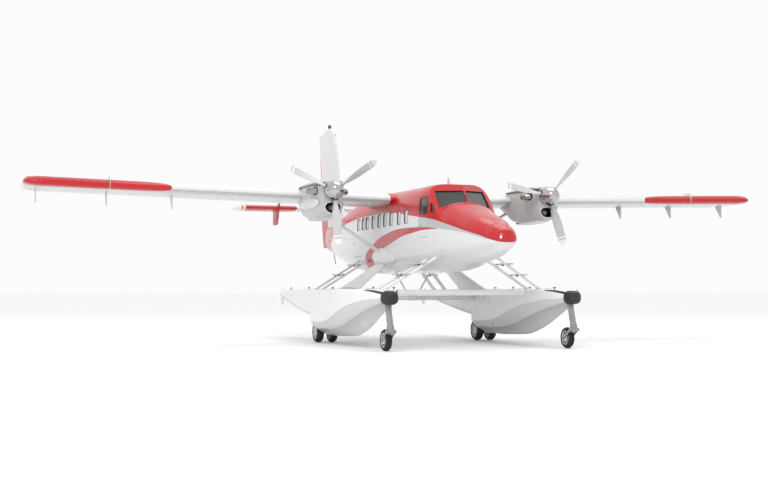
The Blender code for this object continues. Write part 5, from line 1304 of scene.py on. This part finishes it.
for suffix, side in (("left", 1.0), ("right", -1.0)):
    outs = np.concatenate([[0.42, 0.43], np.linspace(0.45, 3.10, 24), [3.12, 3.13]])
    shrink = np.concatenate([[0.6, 0.9], np.ones(24), [0.9, 0.6]])[:, None]
    depth, half = control_rows(np.full(len(outs), ELEVATOR_HINGE), ELEVATOR_NOSE,
                               np.full(len(outs), ELEVATOR_REAR), CONTROL_EDGE)
    skin = tube(place(side * outs[:, None], depth, TAILPLANE_Z + half * shrink))
    fit(thing("elevator_skin_" + suffix, [skin], (tail_finish,), 40.0), "elevator_" + suffix,
        "airframe_white", "elevator_" + suffix)
finlets = [plate(eased(FINLET, 1), side * FINLET_OUT, 0.015) for side in (1.0, -1.0)]
fit(thing("finlets", finlets, (finlet_finish,), 40.0), "airframe", "airframe_red")
lamp = turned([(0.001, 0.178), (0.028, 0.170), (0.050, 0.148), (0.060, 0.115), (0.054, 0.080), (0.036, 0.055),
               (0.034, 0.0), (0.001, 0.0)], place(0.0, 8.84, 6.58), axis=2, sides=32)
fit(thing("beacon", [lamp], (beacon_finish,), 40.0), "airframe", "interior_dark")
probe = [rod(place(0.0, 8.36, 6.35), place(0.0, 8.17, 6.352), 0.012),
         rod(place(0.0, 8.18, 6.352), place(0.0, 8.11, 6.352), 0.006)]
fit(thing("fin_probe", probe, (handle_finish,)), "airframe", "gear_metal")

# Wing struts: one streamlined aluminium tube a side from the lower fuselage up into the
# nacelle, where it meets the spar; its foot is under a smooth fairing riveted to the skin.
STRUT_FOOT = (0.98, 0.95, 2.42)
STRUT_HEAD = (2.95, 0.72, 3.588)
# The struts carry the airframe's white paint, made lighter as painted light against the shade on their lower
# faces.
strut_lit_white_finish = plain_finish("strut_white", (0.80, 0.80, 0.80), rough=0.32, vary=0.08, mottle=1.5,
                            grain=40.0, shift=0.10, coat=0.15, specular=0.35)
for suffix, side in (("left", 1.0), ("right", -1.0)):
    foot = place(side * STRUT_FOOT[0], *STRUT_FOOT[1:])
    head = place(side * STRUT_HEAD[0], *STRUT_HEAD[1:])
    along = (head - foot) / np.linalg.norm(head - foot)
    t = np.linspace(-0.20, np.linalg.norm(head - foot), 24)[:, None]
    strut = swept(foot + along * t, 0.105, 0.040, up=(0.0, 0.0, 1.0), sides=36)
    cuff = swept(foot + along * np.array([[0.10], [0.12], [0.15], [0.17]]),
                 np.array([0.107, 0.115, 0.115, 0.107]), np.array([0.042, 0.048, 0.048, 0.042]), sides=36)
    t = np.sin(np.linspace(-np.pi / 2 + 0.03, np.pi / 2 - 0.03, 40))[:, None]
    radius = (1 - t ** 2) ** 0.62
    turn = 2 * np.pi * np.arange(36)[None, :] / 36
    root = place(side * (0.825 + 0.155 * radius * np.cos(turn)), 0.80 + 0.88 * t,
                 2.205 + 0.05 * t + 0.265 * radius * np.sin(turn))
    fit(thing("wing_strut_skin_" + suffix, [tube(strut), tube(cuff), tube(root)], (strut_lit_white_finish,), 50.0),
        "airframe", "strut_white", "wing_strut_" + suffix)

# Float struts: streamlined white tubes in pairs, ahead and behind, with gritted step planks
# on dark round pads; a broad flat leg a side between them; two round spreader bars.
FLOAT_X = 2.24
FRONT_STRUTS = [((1.94, -2.73, 1.395), (0.80, -2.92, 2.10)), ((1.92, -2.09, 1.395), (0.80, -2.28, 2.06))]
REAR_STRUTS = [((1.80, 3.17, 1.392), (0.80, 2.20, 2.17)), ((1.78, 3.97, 1.385), (0.80, 2.97, 2.17))]
FRONT_STEPS = (0.40, 0.76)
REAR_STEPS = (0.45, 0.79)
STEP_HALF = (0.075, 0.49, 0.014)
STEP_PAD = [(0.001, -0.045), (0.030, -0.040), (0.036, -0.012), (0.036, 0.022), (0.001, 0.024)]
# Foot and head of the broad leg: distance out, first and last station, height
LEG_FOOT = np.array([1.71, 0.05, 1.80, 1.392])
LEG_HEAD = np.array([1.02, 0.38, 1.19, 1.93])
clamp_finish = plain_finish("clamp_black", (0.035, 0.035, 0.037), rough=0.55, mottle=12.0, shift=0.3)
tread_finish = plain_finish("step_grit", (0.58, 0.58, 0.58), rough=0.85, vary=0.05, mottle=6.0,
                            grain=260.0, depth=0.003, shift=0.25)


def box_shell(centre, half, edge=0.006):
    """A box whose long edges are cut at 45 degrees: an eight-sided outline across, closed in
    by the same amount at both ends."""
    x, y, z = half
    outline = np.array([(x - edge, z), (x, z - edge), (x, -z + edge), (x - edge, -z), (-x + edge, -z),
                        (-x, -z + edge), (-x, z - edge), (-x + edge, z)])
    rows = []
    for along, draw in ((-y, edge), (-y + edge, 0.0), (y - edge, 0.0), (y, edge)):
        ring = outline * (1 - draw / np.array([x, z]))
        rows.append(np.stack([ring[:, 0], np.full(8, along), ring[:, 1]], axis=-1))
    return tube(np.stack(rows) + np.asarray(centre))


for suffix, side in (("left", 1.0), ("right", -1.0)):
    for pair_name, pair, step_shares in (("front", FRONT_STRUTS, FRONT_STEPS),
                                         ("rear", REAR_STRUTS, REAR_STEPS)):
        legs, steps, clamps = [], [], []
        for foot, head in pair:
            foot, head = place(side * foot[0], *foot[1:]), place(side * head[0], *head[1:])
            along = head - foot
            low, high = foot - along * 0.03, head + along * 0.02
            legs.append(rod(low, high, 0.060, 0.028, sides=28))
            for start, end in ((0.0, 0.035), (0.955, 0.99)):
                legs.append(rod(foot + along * start, foot + along * end, 0.066, 0.034, sides=28))
            for share in step_shares:
                legs.append(rod(foot + along * (share - 0.018), foot + along * (share + 0.018), 0.066, 0.034,
                                sides=24))
        for share in step_shares:
            ends = [np.array(foot) + (np.array(head) - np.array(foot)) * share for foot, head in pair]
            middle = (ends[0] + ends[1]) / 2
            centre = place(side * middle[0], middle[1], ends[0][2] + 0.048)
            steps.append(box_shell(centre, STEP_HALF))
            clamps.append(turned(STEP_PAD, centre, axis=2, sides=24))
        node = pair_name + "_float_struts_" + suffix
        fit(thing(node + "_tubes", legs, (strut_lit_white_finish,), 50.0), "airframe", "strut_white", node)
        fit(thing(node + "_clamps", clamps, (clamp_finish,), 50.0), "airframe", "bow_rubber")
        fit(thing(node + "_steps", steps, (tread_finish,)), "airframe", "gear_metal")
    rows = []
    for share in np.linspace(-0.02, 1.12, 18):
        out, first, last, z = LEG_FOOT + (LEG_HEAD - LEG_FOOT) * share
        flare = 0.05 * np.exp(-((share - 1.0) / 0.12) ** 2) + 0.03 * np.exp(-(share / 0.05) ** 2)
        turn = 2 * np.pi * np.arange(40) / 40
        rows.append(place(side * (out + (0.045 + flare * 0.3) * np.sin(turn)),
                          (first + last) / 2 - ((last - first) / 2 + flare) * np.cos(turn),
                          z + (0.045 + flare * 0.3) * np.sin(turn)))
    fit(thing("broad_leg_" + suffix, [tube(np.stack(rows))], (strut_lit_white_finish,), 50.0), "airframe",
        "strut_white", "centre_float_strut_" + suffix)

spreaders = {"front_spreader": (-2.20, 1.30, 0.070), "middle_spreader": (0.87, 1.15, 0.055)}
for name, (station, z, radius) in spreaders.items():
    bar = turned([(0.001, -1.80), (radius, -1.80), (radius, -1.79), (radius, 1.79), (radius, 1.80),
                  (0.001, 1.80)], place(0.0, station, z), axis=0, sides=40)
    shells = [bar]
    for end in (-1.0, 1.0):
        sleeve = [(radius + 0.001, -0.07), (radius + 0.012, -0.06), (radius + 0.012, 0.06),
                  (radius + 0.001, 0.07)]
        shells.append(turned(sleeve, place(end * 1.735, station, z), axis=0, sides=40))
    if name == "middle_spreader":
        for end in (-1.0, 1.0):
            shells.append(rod(place(end * 0.08, station, z), place(end * 0.525, 0.80, 1.91), 0.022, sides=20))
        shells.append(turned([(0.056, -0.13), (0.064, -0.12), (0.064, 0.12), (0.056, 0.13)],
                             place(0.0, station, z), axis=0, sides=40))
    fit(thing(name + "_bar", shells, (strut_lit_white_finish,), 50.0), "airframe", "strut_white", name)

# Floats: riveted alloy hulls with a V bottom, hard chines and a step amidships; a flat deck with hatches,
# cleats and a walkway, rubber bumpers on the bows, grey below the chine, with painted shade just under the
# knuckle and a painted shade line over the afterbody's chine.
# Station, keel, knuckle, chine, deck, half width
FLOAT_TABLE = [
    (-4.08, 1.10, 1.14, 1.20, 1.30, 0.05),
    (-4.05, 1.09, 1.135, 1.20, 1.31, 0.09),
    (-3.92, 1.08, 1.13, 1.20, 1.32, 0.13),
    (-3.62, 0.93, 1.05, 1.16, 1.365, 0.27),
    (-3.10, 0.72, 0.95, 1.125, 1.385, 0.37),
    (-2.57, 0.52, 0.83, 1.06, 1.39, 0.43),
    (-2.10, 0.39, 0.72, 1.00, 1.39, 0.46),
    (-1.62, 0.29, 0.60, 0.90, 1.39, 0.475),
    (-1.20, 0.255, 0.51, 0.80, 1.39, 0.48),
    (-0.71, 0.24, 0.44, 0.68, 1.39, 0.48),
    (-0.40, 0.23, 0.41, 0.62, 1.39, 0.48),
    (0.60, 0.21, 0.37, 0.555, 1.39, 0.48),
    (1.07, 0.21, 0.37, 0.55, 1.39, 0.48),
]
AFTER_TABLE = [
    (1.071, 0.61, 0.66, 0.735, 1.39, 0.48),
    (1.90, 0.70, 0.75, 0.82, 1.39, 0.475),
    (3.20, 0.87, 0.91, 0.98, 1.385, 0.43),
    (4.60, 1.05, 1.09, 1.15, 1.37, 0.32),
    (5.70, 1.19, 1.22, 1.26, 1.35, 0.16),
    (5.86, 1.22, 1.24, 1.27, 1.34, 0.12),
]
FLOAT_WHITE = (0.82, 0.82, 0.82)


def float_rows(x0, table, stations):
    """Sections from the keel: a straight bottom to the knuckle, a hollow flare out to the
    chine, nearly upright sides, and a deck with a small crown."""
    keel, knuckle, chine, deck, half = glide(table, stations).T[:, :, None]
    a = np.linspace(0.0, 1.0, 7)[None, :]
    bottom_x, bottom_z = 0.64 * half * a, keel + (knuckle - keel) * a ** 1.15
    flare_x = 0.64 * half + 0.36 * half * a
    flare_z = knuckle + (chine - knuckle) * a ** 1.35
    edge = np.minimum(0.05, 0.3 * half)
    side_x = half + 0.004 * np.sin(np.pi * a)
    side_z = chine + (deck - 0.07 - chine) * a
    b = np.linspace(0.0, np.pi / 2, 6)[None, :]
    round_x, round_z = half - edge * (1 - np.cos(b)), deck - 0.07 + 0.06 * np.sin(b)
    top_x = (half - edge) * (1 - np.array([0.25, 0.5, 0.75, 1.0]))[None, :]
    top_z = deck - 0.01 + 0.01 * (1 - (top_x / (half - edge)) ** 2)
    x = np.concatenate([bottom_x, flare_x[:, 1:], side_x[:, 1:], round_x[:, 1:], top_x], axis=1)
    z = np.concatenate([bottom_z, flare_z[:, 1:], side_z[:, 1:], round_z[:, 1:], top_z], axis=1)
    x, z = np.concatenate([x, -x[:, -2:0:-1]], axis=1), np.concatenate([z, z[:, -2:0:-1]], axis=1)
    return place(x0 + x, stations[:, None], z)


def float_paint_and_shade():
    """White hull, light grey under the chines, with a painted shade line along the afterbody's chine and a
    painted shade darkest just under the knuckle, and a mid grey non-slip walkway on the deck."""
    made, tree, shader, spot = new_finish("float_paint_and_shade", coat=0.15, specular=0.35)
    axes = wire(tree, "ShaderNodeSeparateXYZ", spot).node.outputs
    out = maths(tree, "SUBTRACT", maths(tree, "ABSOLUTE", axes[0]), FLOAT_X)
    out = maths(tree, "ABSOLUTE", out)
    station = maths(tree, "SUBTRACT", axes[1], WING_LEAD_Y)
    chines = [(row[0], row[3]) for row in FLOAT_TABLE[:-1]] + [(1.06, 0.55), (1.08, 0.79)]
    # Over the afterbody the grey's edge stands 45 mm above the chine: a painted shade line.
    chines += [(row[0], row[3] + 0.045) for row in AFTER_TABLE[1:]]
    under = below(tree, axes[2], edge_curve(tree, chines, station), 0.002)
    wash = cloud(tree, spot, 1.1, 4.0, 0.0, 0.6)
    # Painted shade: grey darkest just under the knuckle, lightening towards the keel.
    knuckles = [(row[0], row[2]) for row in FLOAT_TABLE[:-1]] + [(1.06, 0.37), (1.08, 0.2)]
    knuckles = edge_curve(tree, knuckles, station)
    deep = maths(tree, "SUBTRACT", knuckles, axes[2])
    knuckle_painted_shade = ramp(tree, deep, 0.02, 0.22, 1.0, 0.25)
    knuckle_painted_shade = both(tree, knuckle_painted_shade, ramp(tree, deep, -0.004, 0.004))
    grey = blended(tree, knuckle_painted_shade, (0.64, 0.645, 0.65), (0.44, 0.445, 0.45))
    colour = blended(tree, under, blended(tree, wash, FLOAT_WHITE, (0.76, 0.76, 0.755)), grey)
    walk = both(tree, ramp(tree, out, 0.255, 0.26, 1.0, 0.0),
                ramp(tree, axes[2], 1.372, 1.376),
                ramp(tree, station, -3.05, -3.04),
                ramp(tree, station, 3.60, 3.61, 1.0, 0.0))
    grit = blended(tree, cloud(tree, spot, 420.0, 2.0), (0.26, 0.265, 0.27), (0.40, 0.405, 0.41))
    colour = blended(tree, walk, colour, grit)
    tree.links.new(colour, shader.inputs["Base Color"])
    panel_relief(tree, shader, spot, (-3.30, -2.40, -1.50, -0.60, 0.30, 1.90, 2.80, 3.70, 4.60, 5.30), 0.3)
    return made


float_finish = float_paint_and_shade()
rubber_finish = plain_finish("bow_rubber_black", (0.022, 0.022, 0.023), rough=0.55, vary=0.12, mottle=7.0,
                             grain=120.0, depth=0.0012, shift=0.35)
alloy_finish = plain_finish("cast_alloy", (0.42, 0.42, 0.41), rough=0.38, vary=0.10, mottle=9.0,
                            grain=160.0, shift=0.2, metallic=0.9)
for suffix, side in (("left", 1.0), ("right", -1.0)):
    x0 = side * FLOAT_X
    ahead = -4.078 + 5.148 * (np.linspace(0.0, 1.0, 90) ** 1.3)
    behind = np.linspace(AFTER_TABLE[0][0], AFTER_TABLE[-1][0], 60)
    skins = [tube(float_rows(x0, FLOAT_TABLE, ahead)), tube(float_rows(x0, AFTER_TABLE, behind))]
    keel_line = ahead[8:80]
    keel_z = glide(FLOAT_TABLE, keel_line)[:, 0]
    skins.append(tube(swept(place(x0, keel_line, keel_z - 0.002), 0.016, 0.010, sides=10)))
    for way in (1.0, -1.0):
        for table, rail in ((FLOAT_TABLE, ahead[16:]), (AFTER_TABLE, np.linspace(1.09, 5.60, 50))):
            chine, half = glide(table, rail)[:, [2, 4]].T
            skins.append(tube(swept(place(x0 + way * (half - 0.001), rail, chine), 0.011, 0.009, sides=10)))
    skins.append(rod(place(x0, 5.80, 1.30), place(x0, 5.904, 1.30), 0.03, sides=20))
    fit(thing("float_skin_" + suffix, skins, (float_finish,), 26.0), "airframe", "float_white",
        "float_" + suffix)
    dome = np.linspace(0.03, np.pi / 2, 16)
    stations = np.concatenate([-3.83 - 0.287 * np.cos(dome), [-3.80, -3.792, -3.79]])
    swell = np.concatenate([np.sin(dome), [0.995, 0.96, 0.88]])[:, None]
    turn = 2 * np.pi * (np.arange(48) + 0.5) / 48
    c, s = np.cos(turn), np.sin(turn)
    block = place(x0 + 0.19 * swell ** 0.8 * np.sign(c) * np.abs(c) ** 0.72, stations[:, None],
                  1.185 + 0.16 * swell ** 0.4 * np.sign(s) * np.abs(s) ** 0.72)
    shells = [tube(block)]
    for way in (1.0, -1.0):
        strip = np.linspace(-3.86, -3.18, 24)
        deck, half = glide(FLOAT_TABLE, strip)[:, [3, 4]].T
        deep = np.interp(strip, (-3.86, -3.60, -3.18), (0.030, 0.024, 0.008))
        line = place(x0 + way * (half - 0.004), strip, deck - 0.02 - deep * 0.8)
        shells.append(tube(swept(line, 0.016, deep, sides=16)))
    fit(thing("bow_bumper_" + suffix, shells, (rubber_finish,), 40.0), "airframe", "bow_rubber",
        "bow_cover_" + suffix)
    fittings, covers = [], []
    for way, station in ((side, -0.73), (side, 1.49), (side, 3.74), (-side, -1.46), (-side, -3.45)):
        deck, half = glide(FLOAT_TABLE if station < 1.07 else AFTER_TABLE, [station])[0, [3, 4]]
        spot = place(x0 + way * (half - 0.075), station, deck - 0.008)
        fittings.append(rod(spot, spot + np.array([0.0, 0.0, 0.05]), 0.012, up=(0.0, 1.0, 0.0), sides=14))
        fittings.append(rod(spot + np.array([0.0, -0.07, 0.048]), spot + np.array([0.0, 0.07, 0.048]), 0.010,
                            sides=14))
    for station in (-2.60, -1.10, 0.55, 2.10, 3.30, 4.50):
        deck = glide(FLOAT_TABLE if station < 1.07 else AFTER_TABLE, [station])[0, 3]
        covers.append(turned([(0.001, 0.006), (0.085, 0.006), (0.098, 0.003), (0.10, -0.01), (0.001, -0.01)],
                             place(x0 + side * 0.02, station, deck), axis=2, sides=40))
    fit(thing("cleats_" + suffix, fittings, (clamp_finish,), 40.0), "airframe", "gear_metal")
    fit(thing("hatch_covers_" + suffix, covers, (alloy_finish,), 40.0), "airframe", "gear_metal")

# Wheels and legs: the bow wheel turns in a fork that swivels under its leg, and two wheels
# share an axle behind the step. Black treaded tyres on white pressed hubs; grey steel legs.
# Leg's top and foot, and axles, as station and height; wheels as radius, half width, hub
BOW_LEG = ((-3.70, 1.24), (-3.94, 0.50))
BOW_WHEEL_AT = (-3.62, 0.245)
BOW_WHEEL = (0.245, 0.075, 0.158)
MAIN_WHEEL_AT = (1.374, 0.28)
MAIN_WHEEL = (0.28, 0.095, 0.180)
MAIN_WHEEL_APART = 0.188
leg_grey_finish = plain_finish("leg_grey", (0.30, 0.288, 0.275), rough=0.32, vary=0.10, mottle=5.0,
                               grain=80.0, shift=0.15, specular=0.4)
hub_white_finish = plain_finish("hub_white", (0.78, 0.78, 0.775), rough=0.35, vary=0.1, mottle=9.0,
                                shift=0.15)
tyre_finish = plain_finish("tyre_black", (0.020, 0.020, 0.021), rough=0.75, vary=0.12, mottle=8.0,
                           grain=240.0, depth=0.0008, shift=0.35)


def tyre_shell(centre, radius, half, hub):
    """A tyre turned about its axle: bulged walls, round shoulders, and grooves round the tread."""
    t = np.linspace(-1.0, 1.0, 61)
    out = radius - 0.35 * half * np.abs(t) ** 3.5
    groove = np.zeros_like(t)
    for share in (-0.55, -0.2, 0.2, 0.55):
        groove = np.maximum(groove, np.exp(-((t - share) / 0.045) ** 4))
    tread = np.stack([out - 0.006 * groove, t * half * 0.80], axis=-1)
    a = np.linspace(0.0, np.pi / 2, 8)[1:]
    low_out = out[-1]
    bulge = half * (0.80 + 0.20 * np.sin(np.pi * np.sin(a) ** 1.2))
    wall = np.stack([hub + (low_out - hub) * np.cos(a) ** 0.9, bulge], axis=-1)
    wall[:, 1] = np.minimum(wall[:, 1], half)
    inner = np.array([(hub - 0.004, half * 0.72), (hub - 0.004, -half * 0.72)])
    profile = np.concatenate([wall[::-1] * (1, -1), tread, wall, inner])
    return turned(profile, centre, axis=0, sides=72)


def hub_shells(centre, half, hub, bore, bolts=6):
    """A pressed hub: a dished disc on each side with a raised rim and nave, and a ring of bolts."""
    side = np.array([(bore, half * 0.96), (bore + 0.022, half * 0.96), (bore + 0.026, half * 0.86),
                     (hub * 0.62, half * 0.80), (hub * 0.88, half * 0.80), (hub * 0.94, half * 0.88),
                     (hub, half * 0.90), (hub + 0.004, half * 0.74)])
    shells = [turned(np.concatenate([side, side[::-1] * (1, -1)]), centre, axis=0, sides=48)]
    for k in range(bolts):
        a = 2 * np.pi * k / bolts
        middle = np.asarray(centre) + hub * 0.60 * np.array([0.0, math.cos(a), math.sin(a)])
        for way in (1.0, -1.0):
            reach = np.array([way * half * 0.88, 0.0, 0.0])
            shells.append(rod(middle + reach * 0.75, middle + reach, 0.0085, sides=6))
    return shells


for suffix, side in (("left", 1.0), ("right", -1.0)):
    x0 = side * FLOAT_X
    top, low = (place(x0, *spot) for spot in BOW_LEG)
    axle = place(x0, *BOW_WHEEL_AT)
    down = (low - top) / np.linalg.norm(low - top)
    leg = [rod(top - down * 0.02, low, 0.070, sides=40, up=(1.0, 0.0, 0.0))]
    for start, end, radius in ((0.24, 0.28, 0.077), (0.56, 0.60, 0.075), (0.70, 0.778, 0.082)):
        leg.append(rod(top + down * start, top + down * end, radius, sides=40, up=(1.0, 0.0, 0.0)))
    fit(thing("bow_leg_skin_" + suffix, leg, (leg_grey_finish,), 40.0), "airframe", "gear_metal",
        "bow_leg_" + suffix)
    collar = low + down * 0.0012
    fork = [rod(collar, collar + down * 0.034, 0.085, sides=40, up=(1.0, 0.0, 0.0)),
            rod(collar + down * 0.036, collar + down * 0.052, 0.078, sides=40, up=(1.0, 0.0, 0.0)),
            rod(collar + down * 0.054, collar + down * 0.098, 0.085, sides=40, up=(1.0, 0.0, 0.0))]
    yoke = collar + down * 0.058
    fork.append(rod(yoke - np.array([0.119, 0.0, 0.0]), yoke + np.array([0.119, 0.0, 0.0]), 0.038, sides=28))
    for way in (1.0, -1.0):
        arm = np.array([way * 0.103, 0.0, 0.0])
        t = np.linspace(0.0, 1.0, 10)[:, None]
        bend = yoke + arm + (axle - yoke) * t
        fork.append(tube(swept(bend, 0.030, 0.013, up=(1.0, 0.0, 0.0), sides=24)[:, ::-1]))
        boss = axle + np.array([way * 0.103, 0.0, 0.0])
        fork.append(turned([(0.001, -0.016), (0.040, -0.016), (0.042, -0.010), (0.042, 0.010), (0.040, 0.016),
                            (0.001, 0.016)], boss, axis=0, sides=32))
    fork.append(rod(axle - np.array([0.119, 0.0, 0.0]), axle + np.array([0.119, 0.0, 0.0]), 0.0188, sides=28))
    fit(thing("bow_fork_skin_" + suffix, fork, (leg_grey_finish,), 40.0), "bow_fork_" + suffix, "gear_metal",
        "bow_fork_" + suffix)
    radius, half, hub = BOW_WHEEL
    body = "bow_wheel_" + suffix
    fit(thing("bow_tyre_" + suffix, [tyre_shell(axle, radius, half, hub)], (tyre_finish,), 40.0), body,
        "tyre", body)
    fit(thing("bow_hub_" + suffix, hub_shells(axle, half, hub, 0.0205), (hub_white_finish,), 40.0), body,
        "float_white")
    radius, half, hub = MAIN_WHEEL
    axle = place(x0, *MAIN_WHEEL_AT)
    reach = np.array([MAIN_WHEEL_APART + 0.11, 0.0, 0.0])
    strut = [rod(axle - reach, axle + reach, 0.0248, sides=28),
             rod(axle, axle + np.array([0.0, 0.0, 0.53]), 0.045, sides=36, up=(0.0, 1.0, 0.0)),
             rod(axle + np.array([0.0, 0.0, 0.20]), axle + np.array([0.0, 0.0, 0.25]), 0.053, sides=36,
                 up=(0.0, 1.0, 0.0)),
             rod(axle + np.array([0.0, 0.0, 0.46]), axle + np.array([0.0, 0.0, 0.50]), 0.056, sides=36,
                 up=(0.0, 1.0, 0.0)),
             rod(axle - np.array([0.055, 0.0, 0.0]), axle + np.array([0.055, 0.0, 0.0]), 0.050, sides=36)]
    fit(thing("main_leg_skin_" + suffix, strut, (leg_grey_finish,), 40.0), "airframe", "gear_metal",
        "main_leg_" + suffix)
    body = "main_wheels_" + suffix
    tyres, hubs = [], []
    for way in (1.0, -1.0):
        centre = axle + np.array([way * MAIN_WHEEL_APART, 0.0, 0.0])
        tyres.append(tyre_shell(centre, radius, half, hub))
        hubs.extend(hub_shells(centre, half, hub, 0.0265))
    fit(thing("main_tyres_" + suffix, tyres, (tyre_finish,), 40.0), body, "tyre",
        "main_wheel_" + suffix + "_inner", "main_wheel_" + suffix + "_outer")
    fit(thing("main_hubs_" + suffix, hubs, (hub_white_finish,), 40.0), body, "float_white")
    post = [rod(place(x0, 5.925, 1.08), place(x0, 5.925, 1.42), 0.020, sides=24, up=(0.0, 1.0, 0.0)),
            plate(eased([(5.93, 1.34), (6.20, 1.34), (6.22, 0.96), (6.02, 0.90), (5.93, 1.10)]), x0, 0.012)]
    for z in (1.14, 1.27):
        band = [(5.935, z - 0.022), (6.12, z - 0.012), (6.12, z + 0.012), (5.935, z + 0.022)]
        post.append(plate(eased(band, 2), x0, 0.016))
    fit(thing("water_rudder_skin_" + suffix, post, (hub_white_finish,), 40.0), "water_rudder_" + suffix,
        "gear_metal", "water_rudder_" + suffix)

# Aerials and small fittings: white blade aerials on the roof and the belly, a black whip
# ahead of the fin, a grey rod and two grips at the tail, and a lamp and two small vanes on
# the starboard side of the nose.
aerial_finish = plain_finish("aerial_white", (0.66, 0.66, 0.65), rough=0.35, vary=0.06, mottle=8.0, shift=0.1)
whip_finish = plain_finish("whip_black", (0.030, 0.030, 0.032), rough=0.5, mottle=20.0, shift=0.3)
lamp_finish = plain_finish("lamp_glass", (0.93, 0.93, 0.90), rough=0.10, vary=0.03, mottle=30.0, grain=500.0,
                           depth=0.0002, shift=0.05, coat=1.0)


def blade_aerial(x, first, last, low, high, lean, half=0.010):
    """A blade: lens-shaped sections that rise and draw in from the front by the lean."""
    t = np.linspace(0.0, 1.0, 14)[:, None]
    turn = 2 * np.pi * np.arange(28)[None, :] / 28
    front = first + lean * t
    back = last - 0.25 * lean * t ** 2
    wide = half * (1 - 0.45 * t) * np.clip((1.04 - t) / 0.12, 0.1, 1.0) ** 0.5
    return tube(place(x + wide * np.sin(turn), (front + back) / 2 - (back - front) / 2 * np.cos(turn),
                      low + (high - low) * t))


blades = [blade_aerial(0.0, -1.86, -1.66, 3.86, 4.10, 0.07),
          blade_aerial(0.0, 3.10, 3.26, 3.76, 3.90, 0.05, 0.008),
          blade_aerial(0.0, -1.30, -1.14, 1.905, 1.78, 0.06, 0.008)]
fit(thing("blade_aerials", blades, (aerial_finish,), 50.0), "airframe", "airframe_white")
t = np.linspace(0, 1, 12)
thin = np.linspace(0.013, 0.006, 12)
whips = [tube(swept(place(0.0, 4.90 + 0.12 * t ** 1.3, 3.68 + 0.57 * t), thin, thin, up=(1.0, 0.0, 0.0),
                    sides=16)),
         turned([(0.001, 0.05), (0.022, 0.045), (0.028, 0.0), (0.028, -0.03), (0.001, -0.03)],
                place(0.0, 4.90, 3.72), axis=2, sides=24)]
fit(thing("roof_whip", whips, (whip_finish,), 50.0), "airframe", "gear_metal")
rods = [rod(place(0.0, 8.38, 2.68), place(0.0, 8.12, 2.24), 0.013, up=(1.0, 0.0, 0.0), sides=20),
        rod(place(0.0, 8.13, 2.26), place(0.0, 8.10, 2.215), 0.017, up=(1.0, 0.0, 0.0), sides=20)]
fit(thing("tail_rod", rods, (leg_grey_finish,), 40.0), "airframe", "gear_metal")
grip_shells = []
for side in (1.0, -1.0):
    x = side * (hull_side(np.array([7.30]), np.array([2.885]))[0])
    grip_shells.append(rod(place(x, 7.20, 2.885), place(x - side * 0.03, 7.42, 2.895), 0.020, 0.028,
                           sides=20))
fit(thing("tail_grips", grip_shells, (clamp_finish,), 40.0), "airframe", "interior_dark")
lamp = turned([(0.001, -0.010), (0.022, -0.008), (0.034, 0.0), (0.037, 0.012), (0.037, 0.05), (0.001, 0.05)],
              place(-0.150, -5.250, 2.498), axis=1, sides=32)
fit(thing("nose_lamp", [lamp], (lamp_finish,), 50.0), "airframe", "windscreen_glass")
vanes = []
for station, low, high in ((-3.04, 2.28, 2.44), (-2.35, 1.90, 1.97)):
    out = hull_side(np.array([station]), np.array([(low + high) / 2]))[0]
    vanes.append(blade_aerial(-out, station - 0.09, station + 0.05, low, high, 0.05, 0.022))
fit(thing("nose_vanes", vanes, (aerial_finish,), 50.0), "airframe", "airframe_white")
